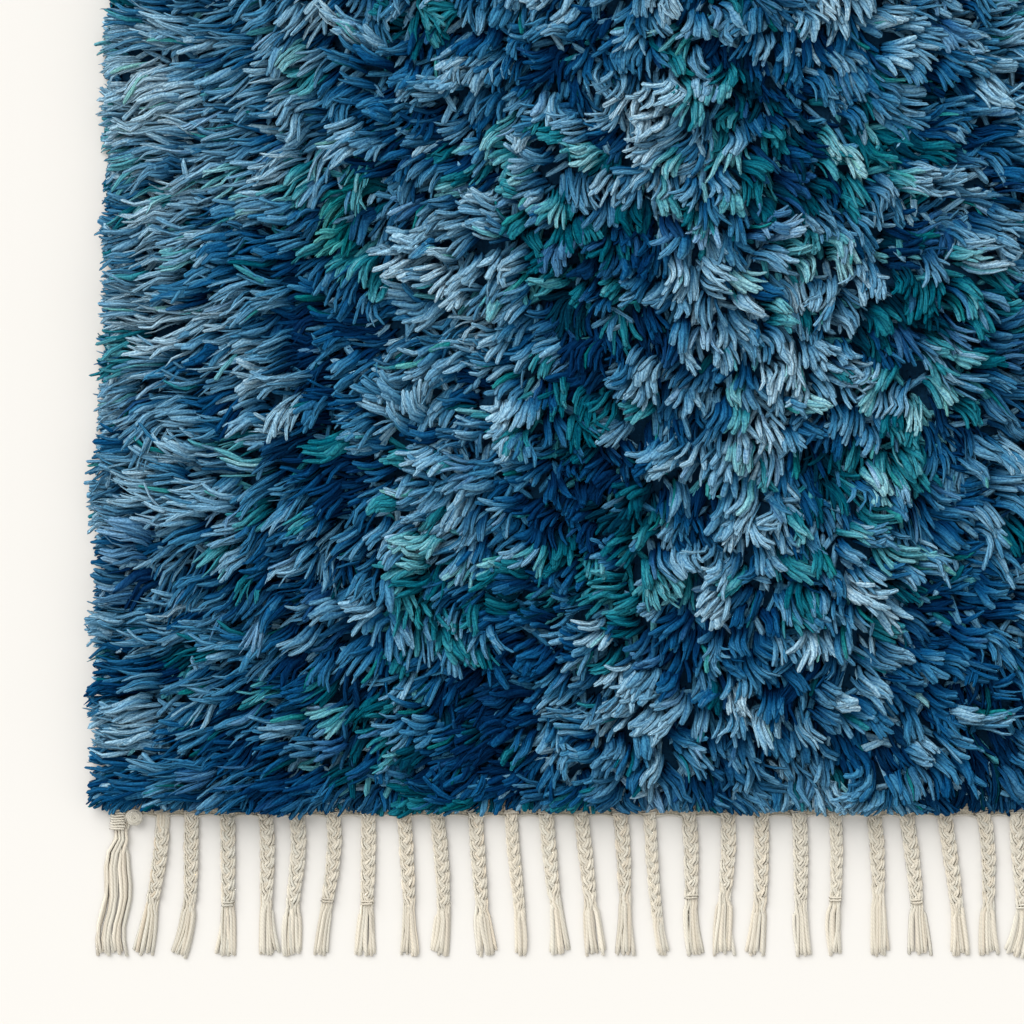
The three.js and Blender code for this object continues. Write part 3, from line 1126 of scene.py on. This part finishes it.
    def wave(self, s: Strands, line: Array) -> Array:
        """Gives each lock the loose wave of plied wool: its strands sway side by side."""
        t = np.linspace(0, 1, self.steps)[None]
        shift = self.random.uniform(0, 1, (s.lock.max() + 1, 2))[s.lock]
        x = line[:, :, 0] + shift[:, :1]
        y = line[:, :, 1] + shift[:, 1:]
        loose = self.wave_reach * smooth(t, 0.06, 0.5) * self.random.uniform(0.6, 1.3, (len(line), 1))
        sway = loose * SmoothNoise(201, self.wave_cell)(x, y)
        heave = 0.5 * loose * SmoothNoise(202, self.wave_cell)(x, y)
        across = np.stack([-np.sin(s.heading), np.cos(s.heading)], -1)
        line[:, :, :2] += across[:, None] * sway[:, :, None]
        line[:, :, 2] += heave
        return line

    def rest(self, s: Strands, line: Array) -> Array:
        """Keeps every strand above the floor and the heading bands, and under the pile's top."""
        past = smooth(np.abs(line[:, :, 1]), self.length / 2 - 2 * MM, self.length / 2 + 4 * MM)
        floor = s.radius[:, None] * 0.9 + self.heading_lift * past
        z = np.maximum(line[:, :, 2], floor)
        over = np.maximum(z - self.top + self.top_ease, 0)
        line[:, :, 2] = z - over + self.top_ease * (1 - np.exp(-over / self.top_ease))
        return line

    def tints(self, s: Strands, t: Array, path: Array) -> Array:
        """Colour along each strand, with painted shade that darkens it towards its root and low in the
        pile.

        Args:
            s: the strands.
            t: the places along them, from 0 to 1, (places,).
            path: their centre lines at those places, (strands, places, 3).

        Returns:
            The colours, with the place along the strand as alpha, (strands, places, 4).
        """
        ramps = np.array([[linear(*shade) for shade in dye.value] for dye in Dye])
        inside = (np.array([self.width, self.length]) / 2 - np.abs(s.root)).min(1)
        depth = smooth(inside, 12 * MM, 60 * MM)[:, None] * (1 - smooth(path[:, :, 2], *self.light_reach))
        # Painted shade: the tone drops towards the root and where the strand lies low in the pile.
        tone = s.tone[:, None] - s.fade[:, None] * (1 - t[None]) / self.tip_share - self.depth_shade * depth
        at = np.clip(tone, 0.1, 0.999) * (ramps.shape[1] - 1)
        low = at.astype(int)
        share = (at - low)[:, :, None]
        bath = s.bath[:, None]
        colour = ramps[bath, low] * (1 - share) + ramps[bath, low + 1] * share
        return np.concatenate([colour, np.broadcast_to(t[None, :, None], (*at.shape, 1))], axis=2)

    def add_to(self, mesh: YarnMesh, s: Strands, line: Array, section: Section) -> None:
        """Adds shaped strands to a mesh as tubes with blunt or wispy tips.

        Args:
            mesh: the mesh they go into.
            s: the strands.
            line: their fine centre lines.
            section: where their rings stand and how they taper.
        """
        places = np.array(section.places)
        taper = np.array(section.taper)
        at = places * (self.steps - 1)
        low = np.minimum(at.astype(int), self.steps - 2)
        share = (at - low)[None, :, None]
        path = line[:, low] * (1 - share) + line[:, low + 1] * share
        uneven = np.clip(1 + self.random.normal(0, 0.1, (len(line), len(taper))), 0.75, 1.3)
        thin = uneven - smooth(s.wisp, 0.55, 1.0)[:, None] * np.clip((places[1:-1] - 0.4) / 0.6, 0, 1) * 0.8
        lateral = np.stack([-np.sin(s.heading), np.cos(s.heading), np.zeros(len(line))], -1)
        roll = self.random.uniform(0, 2 * math.pi, len(line))
        radii = s.radius[:, None] * taper * thin
        mesh.add(path, radii, lateral, self.tints(s, places, path), roll, self.yarn_flatness)

    def build(self, material: bpy.types.Material) -> list[bpy.types.Object]:
        """Builds the pile as bands across the rug, each one mesh."""
        s = self.strands()
        outline = self.outline(s)
        self.fit_to_edges(s, outline)
        line = self.wave(s, self.gather(s, self.paths(s)))
        line = self.rest(s, self.hem(s, line, outline))
        deep = self.deep_strands()
        outline = self.outline(deep)
        self.fit_to_edges(deep, outline)
        deep_line = self.rest(deep, self.hem(deep, self.paths(deep), outline))
        fine = (s.root < np.array(self.fine_corner)).all(1)
        order = np.argsort(s.root[:, 1])
        work = np.cumsum(np.where(fine, len(FINE.taper), len(PLAIN.taper))[order])
        shares = np.searchsorted(work, work[-1] * np.arange(1, self.bands) / self.bands)
        cuts = s.root[order[shares], 1]
        pieces = []
        for band in range(self.bands):
            mesh = YarnMesh()
            chosen = np.digitize(s.root[:, 1], cuts) == band
            for part, section in ((chosen & fine, FINE), (chosen & ~fine, PLAIN)):
                self.add_to(mesh, s.part(part), line[part], section)
            below = np.digitize(deep.root[:, 1], cuts) == band
            self.add_to(mesh, deep.part(below), deep_line[below], DEEP)
            LOG.info("pile band %d: %d strands, %d triangles", band + 1, chosen.sum(), mesh.triangles)
            pieces.append(settle(mesh.build(f"pile_band_{band + 1}", material), "pile_wool"))
        return pieces


# ------------------------------------------------------------------------------- fringes


class Hold(Enum):
    """How a tassel's yarns are held."""

    LOOSE = "loose"
    BRAIDED = "braided"
    TIED = "tied"


SLIM_SPREAD = 12
SLIM_SQUEEZE = 0.84


@dataclass(frozen=True)
class TasselRow:
    """One tassel's lie in millimetres: sideways places, width at the tip, braided and plain length."""

    shift: float
    bow: float
    lean: float
    tip: float
    spread: float
    braid: float
    hold: Hold = Hold.BRAIDED
    plain: float = 0

    @property
    def slim(self) -> bool:
        """Whether the tassel is drawn in narrower than the others."""
        return self.spread < SLIM_SPREAD

    @property
    def squeeze(self) -> float:
        """Its width as a share of a full tassel's."""
        return SLIM_SQUEEZE if self.slim else 1.0


TASSELS = 31
FRONT_TASSELS = (
    TasselRow(0, -3, -7, -9, 25, 12, Hold.LOOSE),
    TasselRow(3, -2, -8, -16, 18, 72, Hold.BRAIDED, 20),
    TasselRow(-2, -1, -2, -12, 14, 70),
    TasselRow(-2, 0, 0, -2, 16, 74, Hold.TIED),
    TasselRow(-1, 2, 1, 3, 19, 69),
    TasselRow(-5, 2, -2, -2, 17, 75),
    TasselRow(-4, 1, -4, -10, 14, 71, Hold.TIED),
    TasselRow(-4, 0, -1, -3, 17, 73, Hold.TIED),
    TasselRow(-4, 2, 4, 4, 14, 73),
    TasselRow(-7, 4, 6, 3, 14, 77),
    TasselRow(-4, 2, 5, 9, 17, 75),
    TasselRow(-4, 2, 6, 8, 11, 77),
    TasselRow(-5, 3, 7, 12, 14, 67),
    TasselRow(-6, 4, 8, 12, 17, 69),
    TasselRow(-3, 3, 4, 4, 14, 63),
    TasselRow(-8, 2, 5, 12, 10, 84),
    TasselRow(-6, 3, 3, 6, 14, 68, Hold.TIED),
    TasselRow(-3, 1, -2, -3, 18, 63),
    TasselRow(-4, 0, -1, -5, 16, 73),
    TasselRow(-3, 2, 2, 5, 14, 73),
    TasselRow(-3, 2, 1, 1, 11, 70, Hold.TIED),
    TasselRow(0, 3, 4, 6, 15, 63),
    TasselRow(-3, 5, 9, 12, 17, 72, Hold.TIED),
    TasselRow(-1, 5, 10, 14, 15, 75),
    TasselRow(1, 5, 5, 7, 17, 70),
)


def wander(t: float, phase: float) -> float:
    """A slow unevenness between -1 and 1."""
    return 0.6 * math.sin(t + phase) + 0.4 * math.sin(2.3 * t + 1.7 * phase)


def plain_tassel(index: int) -> TasselRow:
    """A tassel of the same make whose lie follows a slow unevenness."""
    return TasselRow(
        shift=2 * wander(index * 1.9, 0.4),
        bow=2 * wander(index * 1.3, 2.1),
        lean=4 * wander(index * 1.1, 1.2),
        tip=7 * wander(index * 0.9, 3.3),
        spread=15 + 3 * wander(index * 2.7, 0.9),
        braid=72 + 5 * wander(index * 3.1, 1.5),
        hold=Hold.TIED if index % 4 == 0 else Hold.BRAIDED,
    )


@dataclass(frozen=True)
class Winding:
    """A thread wound round a tassel."""

    half: float
    height: float
    turns: int
    step: float
    tone: float


CORNER_WRAP = Winding(6.2 * MM, 8.4 * MM, 8, 2.1 * MM, 1.0)
SLIM_WRAP = Winding(6.2 * MM, 6.8 * MM, 4, 1.5 * MM, 0.8)
WRAP = Winding(7.2 * MM, 6.8 * MM, 4, 1.5 * MM, 0.8)
TIE = Winding(4.9 * MM, 6.4 * MM, 2, 2.2 * MM, 0.98)


@dataclass
class Fringe:
    """One end's fringe: a woven heading, and warp yarns wrapped, braided and left loose."""

    name: str
    node: str
    rows: tuple[TasselRow, ...]
    width: float
    ground_end: float
    reach: float
    turned: bool = False
    inset: float = 8.75 * MM
    first_root: float = 11.5 * MM
    heading_depth: float = 19.5 * MM
    heading_inner: float = 3 * MM
    heading_thickness: float = 2.4 * MM
    heading_inset: float = 2 * MM
    heading_foot: float = 0.3 * MM
    scallop: float = 4 * MM
    yarns_per_ply: int = 3
    yarn_radius: float = 1.28 * MM
    seat_pitch: float = 1.24
    braid_half: float = 3.6 * MM
    braid_lift: float = 1.7 * MM
    braid_pitch: float = 26 * MM
    steps_per_pitch: int = 10
    core_radius: float = 2.4 * MM
    core_tone: float = 0.85
    freed_over: float = 0.30
    freed_swell: float = 0.42
    loose_half: float = 6.4 * MM
    loose_wave: float = 62 * MM
    thread_radius: float = 0.8 * MM
    cord_radius: float = 1.0 * MM
    pad_offset: tuple[float, float] = (9.6 * MM, -6.4 * MM)
    pad_yarn: float = 1.45 * MM
    seed: int = 11

    def __post_init__(self) -> None:
        """Sets up the random source, the tassels' length and the mesh that the yarns go into."""
        self.random = np.random.default_rng(self.seed + self.turned)
        self.length = self.reach - self.first_root
        self.mesh = YarnMesh()

    # ---- places

    def root_x(self, index: int) -> float:
        """Where a tassel leaves the heading, across the rug."""
        return -self.width / 2 + self.inset + index * (self.width - 2 * self.inset) / (len(self.rows) - 1)

    def spine(self, index: int, share: Array) -> Array:
        """Centre line of a tassel on the floor, (places, 2); share runs from 0, root, to 1, tip."""
        row = self.rows[index]
        shares = np.array([0, 0.3, 0.62, 1])
        aside = np.array([0, row.bow, row.lean, row.tip]) * MM
        curve = np.polynomial.Polynomial.fit(shares, aside, 3)
        x = self.root_x(index) + row.shift * MM + curve(share)
        y = -(self.ground_end + self.first_root) - share * self.length
        return np.stack([x, y], 1)

    def stand(self, index: int, share: float) -> tuple[Array, Array]:
        """Place and direction of a tassel on the floor at a share of its length."""
        line = self.spine(index, np.array([0.0, 0.02]) + share)
        return line[0], unit(line[1] - line[0])

    def heading_x(self) -> Array:
        """Places along the heading, from side to side."""
        half = self.width / 2 - self.heading_inset
        return np.linspace(-half, half, 8 * len(self.rows))

    def edge_y(self, x: Array) -> Array:
        """Outer edge of the heading, drawn in by each tassel and arched between them."""
        roots = np.array([self.root_x(i) + row.shift * MM for i, row in enumerate(self.rows)])
        order = np.interp(x, roots, np.arange(len(roots)))
        arch = np.abs(np.sin(math.pi * order))
        return -(self.ground_end + self.heading_depth) + self.scallop * arch**0.7

    # ---- yarns

    def add_yarns(self, centre: Array, radii: Array, tone: float = 1.0) -> None:
        """Adds yarns along centre lines.

        Args:
            centre: centre lines with their end points, (yarns, places, 3).
            radii: radius of each ring, (yarns, places - 2).
            tone: brightness of the yarn.
        """
        if self.turned:
            centre = centre * np.array([-1, -1, 1])
        yarns, places = centre.shape[:2]
        shade = tone * (1 + self.random.normal(0, 0.035, (yarns, 1, 1)))
        warmth = self.random.normal(0, 0.012, (yarns, 1, 1)) * np.array([1, 0, -1])
        colour = np.array(linear(219, 213, 199)) * (shade + warmth)
        tint = np.concatenate([colour, np.ones((yarns, 1, 1))], axis=2).repeat(places, axis=1)
        upright = np.broadcast_to([0.02, 0.03, 1.0], (yarns, 3))
        self.mesh.add(centre, radii, upright, np.clip(tint, 0, 1), self.random.uniform(0, 2, yarns))

    def plait(self, row: TasselRow, share: Array, ply: Array, seat: Array) -> tuple[Array, Array]:
        """Lays the yarns of a tassel in a braid of three plies.

        Args:
            row: the tassel.
            share: places along it, from 0 to 1, (places,).
            ply: the number of each yarn's ply, (yarns,).
            seat: each yarn's place across its ply, (yarns,).

        Returns:
            How far aside and how high each yarn lies, (yarns, places) each.
        """
        plaited = row.braid * MM / self.length
        start = self.random.uniform(0, 2 * math.pi)
        turn = start + 2 * math.pi * share[None] * self.length / self.braid_pitch
        turn = turn + ply[:, None] * (2 * math.pi / 3)
        narrow = 1 - 0.22 * smooth(share, 0.5 * plaited, plaited) - 0.12 * (1 - smooth(share, 0, 0.1))
        slope = self.braid_half * 2 * math.pi / self.braid_pitch * np.cos(turn)
        side = self.braid_half * np.sin(turn) * narrow * row.squeeze
        side = side + seat[:, None] * self.seat_pitch * self.yarn_radius * row.squeeze * (1 + slope**2)
        lift = self.yarn_radius + self.braid_lift * (1 - np.sin(2 * turn))
        return side, lift + 0.5 * self.yarn_radius * (1 - np.abs(seat))[:, None]

    def loosen(self, row: TasselRow, share: Array, rank: Array, fan: Array) -> tuple[Array, Array]:
        """Lays the yarns of a tassel side by side, spread towards the tip.

        Args:
            row: the tassel.
            share: places along it, from 0 to 1, (places,).
            rank: each yarn's number from one side to the other, (yarns,).
            fan: how far along the loose end each place is, from 0 to 1, (1, places).

        Returns:
            How far aside and how high each yarn lies, (yarns, places) each.
        """
        rnd = self.random
        loose = row.hold is Hold.LOOSE
        yarns = len(rank)
        place = (rank - (yarns - 1) / 2) / ((yarns - 1) / 2)
        half_tip = row.spread * MM / 2 - self.yarn_radius
        half_tie = (self.loose_half if loose else self.braid_half * 1.15) * row.squeeze
        half_now = half_tie + (half_tip - half_tie) * fan ** (0.55 if loose else 1.2)
        stray = rnd.normal(0, 0.9, yarns)[:, None] * MM * np.sin(math.pi * fan * rnd.uniform(0.6, 1.5))
        side = place[:, None] * half_now + stray + rnd.normal(0, 0.8, yarns)[:, None] * MM * fan
        layer = (rank % 2)[:, None] * 0.9 * self.yarn_radius * (1 - 0.5 * fan)
        if loose:
            phase = 0.6 + rnd.normal(0, 0.45, yarns)[:, None]
            wave = np.sin(2 * math.pi * share[None] * self.length / self.loose_wave + phase)
            side = side + 2.0 * MM * wave * smooth(share, 0.05, 0.3)[None]
        return side, self.yarn_radius + layer + 0.8 * MM * (1 - fan)

    def tassel(self, index: int) -> None:
        """Makes one tassel: warp yarns plaited in three plies, and then loose to the tip."""
        row = self.rows[index]
        rnd = self.random
        loose = row.hold is Hold.LOOSE
        plaited = row.braid * MM / self.length
        count = max(4, round(row.braid * MM / self.braid_pitch * self.steps_per_pitch))
        tail = np.linspace(plaited, 1, 10 if loose else 8)[1:]
        share = np.concatenate([np.linspace(0, plaited, count), tail])
        line = self.spine(index, share)
        forward = unit(np.gradient(line, axis=0))
        across = np.stack([-forward[:, 1], forward[:, 0]], 1)
        per_ply = self.yarns_per_ply + loose
        yarns = 3 * per_ply
        ply = np.repeat(np.arange(3), per_ply)
        seat = np.tile(np.arange(per_ply) - (per_ply - 1) / 2, 3)
        side, lift = self.plait(row, share, ply, seat)
        rank = np.argsort(np.argsort(side[:, count - 1]))
        fan = np.clip((share - plaited) / (1 - plaited), 0, 1)[None]
        free_side, free_lift = self.loosen(row, share, rank, fan)
        freed = smooth(fan, 0.0, self.freed_over)
        if row.plain:
            plain = row.plain * MM
            freed = freed + 1 - smooth(share, 0.6 * plain / self.length, plain / self.length)[None]
        side = side * (1 - freed) + free_side * freed
        lift = lift * (1 - freed) + free_lift * freed
        cut = 1 + rnd.uniform(-0.035, 0.004, yarns)[:, None] * fan
        flat = self.spine(index, (share[None] * cut).ravel()).reshape(yarns, -1, 2)
        ground = flat + across[None] * side[:, :, None]
        centre = np.concatenate([ground, lift[:, :, None]], axis=2)
        thick = self.yarn_radius * (1 + self.freed_swell * freed)
        thick = thick * (1 + rnd.normal(0, 0.05, yarns))[:, None]
        thick = np.broadcast_to(thick, (yarns, len(share))).copy()
        thick[:, -1] *= 0.88
        self.add_yarns(self.with_ends(centre), thick)
        core = np.concatenate([line, np.full((len(line), 1), self.core_radius)], axis=1)
        core = core[: count - 2 : 2][None]
        self.add_yarns(self.with_ends(core), np.full((1, core.shape[1]), self.core_radius), self.core_tone)

    def with_ends(self, centre: Array) -> Array:
        """Centre lines with an end point just past each end ring."""
        first = centre[:, :1] + unit(centre[:, :1] - centre[:, 1:2]) * 0.5 * MM
        last = centre[:, -1:] + unit(centre[:, -1:] - centre[:, -2:-1]) * 0.7 * MM
        return np.concatenate([first, centre, last], axis=1)

    def wrap(self, place: Array, forward: Array, winding: Winding) -> None:
        """Winds a thread round a tassel.

        Args:
            place: the middle of the first turn on the floor, (2,).
            forward: direction of the tassel there, (2,).
            winding: how the thread is wound.
        """
        rnd = self.random
        end = (2 * winding.turns - 0.5) * math.pi
        angle = np.linspace(-0.5 * math.pi, end, round(winding.turns * 9) + 1)
        across = np.array([-forward[1], forward[0]])
        ragged = 1 + rnd.normal(0, 0.05, len(angle))
        along = winding.step * angle / (2 * math.pi) + rnd.normal(0, 0.18, len(angle)) * MM
        side = winding.half * np.cos(angle) * ragged
        up = winding.height / 2 * (1 + np.sin(angle)) * ragged
        flat = place + forward * along[:, None] + across * side[:, None]
        centre = np.concatenate([flat, np.maximum(up, 0.7 * MM)[:, None]], 1)[None]
        self.add_yarns(self.with_ends(centre), np.full((1, len(angle)), self.thread_radius), winding.tone)

    def corner_pad(self) -> None:
        """The flattened knot beside the first tassel, where the corner warps are tied off."""
        turns = np.linspace(0, 7 * math.pi, 64)
        out = turns / turns[-1]
        coil = 0.6 * MM + 5.6 * MM * turns / turns[-1]
        centre = self.spine(0, np.array([0.0]))[0] + np.array(self.pad_offset)
        flat = centre + coil[:, None] * arrow(turns)
        up = 8.4 * MM - 1.8 * MM * out**2 + self.random.normal(0, 0.1, len(turns)) * MM
        line = np.concatenate([flat, up[:, None]], 1)[None]
        self.add_yarns(self.with_ends(line), np.full((1, len(turns)), self.pad_yarn), 0.98)

    def edge_cord(self) -> None:
        """The twisted cord along the heading's outer edge."""
        x = self.heading_x()
        centre = np.stack([x, self.edge_y(x), np.full_like(x, self.heading_thickness)], 1)[None]
        self.add_yarns(self.with_ends(centre), np.full((1, len(x)), self.cord_radius), 0.9)

    def yarn_piece(self, material: bpy.types.Material) -> bpy.types.Object:
        """Makes every tassel, wrap and the edge cord as one mesh."""
        for index, row in enumerate(self.rows):
            self.tassel(index)
            root, forward = self.stand(index, 0.0)
            if row.hold is Hold.LOOSE:
                self.wrap(root - [3.5 * MM, 0], forward, CORNER_WRAP)
            else:
                self.wrap(root - forward * 2.5 * MM, forward, SLIM_WRAP if row.slim else WRAP)
            if row.hold is Hold.TIED:
                self.wrap(*self.stand(index, row.braid * MM / self.length), TIE)
        if self.rows[0].hold is Hold.LOOSE:
            self.corner_pad()
        self.edge_cord()
        LOG.info("%s: %d triangles", self.name, self.mesh.triangles)
        return settle(self.mesh.build(self.name, material), "fringe_yarn", self.node)

    def heading(self, material: bpy.types.Material) -> bpy.types.Object:
        """Weaves the flat heading that joins the ground to the tassels."""
        x = self.heading_x()
        outer = self.edge_y(x)
        inner = -self.ground_end + self.heading_inner
        turn = -1 if self.turned else 1
        foot, top = self.heading_foot, self.heading_thickness
        bm = bmesh.new()
        rings = []
        for place_x, edge in zip(x, outer):
            corners = ((inner, foot), (edge, foot), (edge, top), (inner, top))
            rings.append([bm.verts.new((turn * place_x, turn * y, z)) for y, z in corners])
        for one, two in zip(rings, rings[1:]):
            for k in range(4):
                bm.faces.new((one[k], two[k], two[(k + 1) % 4], one[(k + 1) % 4]))
        bm.faces.new(rings[0])
        bm.faces.new(rings[-1][::-1])
        bmesh.ops.recalc_face_normals(bm, faces=bm.faces)
        return settle(lay_cloth(bm, f"{self.name}_heading", material), "fringe_yarn")


# -------------------------------------------------------------------------------- ground


@dataclass
class Ground:
    """The woven ground that the pile is knotted into, one flat sheet."""

    width: float
    length: float
    thickness: float = 2.6 * MM
    floor_gap: float = 0.2 * MM
    columns: int = 22
    rows: int = 32

    def build(self, material: bpy.types.Material) -> bpy.types.Object:
        """Weaves the ground: a flat grid, given its thickness."""
        bm = bmesh.new()
        bmesh.ops.create_grid(bm, x_segments=self.columns, y_segments=self.rows, size=0.5)
        bmesh.ops.scale(bm, vec=(self.width, self.length, 1), verts=bm.verts)
        bmesh.ops.translate(bm, vec=(0, 0, self.floor_gap), verts=bm.verts)
        bmesh.ops.recalc_face_normals(bm, faces=bm.faces)
        bmesh.ops.solidify(bm, geom=bm.faces[:], thickness=-self.thickness)
        bmesh.ops.recalc_face_normals(bm, faces=bm.faces)
        return settle(lay_cloth(bm, "ground_weave", material), "ground_weave", "pile_field")


# -------------------------------------------------------------------------------- studio


@dataclass
class Studio:
    """Floor, light and camera."""

    view_width: float = 0.8192
    view_centre: tuple[float, float] = (-0.1184, -0.4072)
    focus_height: float = 0.02
    lens: float = 135.0
    sensor: float = 36.0
    clip_end: float = 50.0
    floor_size: float = 14.0
    floor_finish: FloorFinish = FloorFinish("studio_floor", (0.716, 0.698, 0.664))
    sun_strength: float = 2.6
    sun_angle: float = 55.0
    sun_from: tuple[float, float, float] = (-0.62, 0.85, 1.0)
    sky_strength: float = 0.82
    sky_colour: tuple[float, float, float] = (1.0, 0.995, 0.985)

    def floor(self) -> None:
        """Lays the floor."""
        bm = bmesh.new()
        bmesh.ops.create_grid(bm, x_segments=1, y_segments=1, size=self.floor_size / 2)
        lay_cloth(bm, "floor", self.floor_finish.material())

    def lights(self) -> None:
        """Sets the soft sky and the key light from the back left."""
        world = bpy.data.worlds.new("studio_sky")
        world.use_nodes = True
        background = world.node_tree.nodes["Background"]
        background.inputs[0].default_value = (*self.sky_colour, 1)
        background.inputs[1].default_value = self.sky_strength
        bpy.context.scene.world = world
        lamp = bpy.data.lights.new("key_light", "SUN")
        lamp.energy = self.sun_strength
        lamp.angle = math.radians(self.sun_angle)
        key = bpy.data.objects.new("key_light", lamp)
        key.rotation_euler = Vector(self.sun_from).to_track_quat("Z", "Y").to_euler()
        bpy.context.scene.collection.objects.link(key)

    def camera(self) -> None:
        """Hangs the camera straight above the front left corner."""
        data = bpy.data.cameras.new("camera")
        data.lens = self.lens
        data.sensor_width = self.sensor
        data.clip_end = self.clip_end
        camera = bpy.data.objects.new("camera", data)
        distance = self.view_width * self.lens / self.sensor
        camera.location = (*self.view_centre, self.focus_height + distance)
        bpy.context.scene.collection.objects.link(camera)
        bpy.context.scene.camera = camera

    def build(self) -> None:
        """Sets the whole studio up."""
        bpy.context.scene.view_settings.view_transform = "Standard"
        self.floor()
        self.lights()
        self.camera()


# ---------------------------------------------------------------------------------- main


def main() -> None:
    """Builds the rug piece by piece and reports each one."""
    logging.basicConfig(level=logging.INFO, format="%(message)s")
    pile_low, pile_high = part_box("pile_field")
    fringe_low, fringe_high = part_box("fringe_front")
    ground_width = round(pile_high.x - pile_low.x - 2 * Pile.side_overhang, 2)
    ground_end = round(-fringe_high.y, 3)
    fringe_reach = round(-fringe_low.y, 3) - ground_end
    Studio().build()
    wool = YarnFinish(
        name="pile_wool", plies=4, twist_pitch=26 * MM, ply_depth=0.8 * MM, groove_shade=0.36, streak=1.4,
        painted_root_shade=0.85, roughness=0.9, shine=0.0, shade_cast=(0.22, 0.72, 1.2, 1),
    ).material()
    pile = Pile(ground_width, 2 * ground_end).build(wool)
    warp = YarnFinish(
        name="fringe_yarn", plies=3, twist_pitch=3.4 * MM, ply_depth=0.12 * MM, groove_shade=0.12, streak=0.14,
        painted_root_shade=1.0, roughness=0.8, shine=0.06, shade_cast=(1, 1, 1, 1),
    ).material()
    flat_weave = HeadingFinish("heading_weave", 2.6 * MM, linear(214, 204, 184)).material()
    rows = {
        "front": FRONT_TASSELS + tuple(plain_tassel(i) for i in range(TASSELS - len(FRONT_TASSELS))),
        "back": tuple(plain_tassel(i) for i in range(TASSELS, 2 * TASSELS)),
    }
    trim = []
    for end, tassels in rows.items():
        fringe = Fringe(
            f"fringe_{end}_yarns", f"fringe_{end}", tassels, ground_width, ground_end, fringe_reach,
            turned=end == "back",
        )
        trim += [fringe.heading(flat_weave), fringe.yarn_piece(warp)]
    # The dark knot colour is partly painted shade at the pile's foot.
    weave = GroundFinish(
        "ground_weave", 4 * MM, 13 * MM, 2.8 * MM, linear(205, 196, 178), linear(8, 54, 84)
    ).material()
    ground = Ground(ground_width, 2 * ground_end).build(weave)


if __name__ == "__main__":
    main()
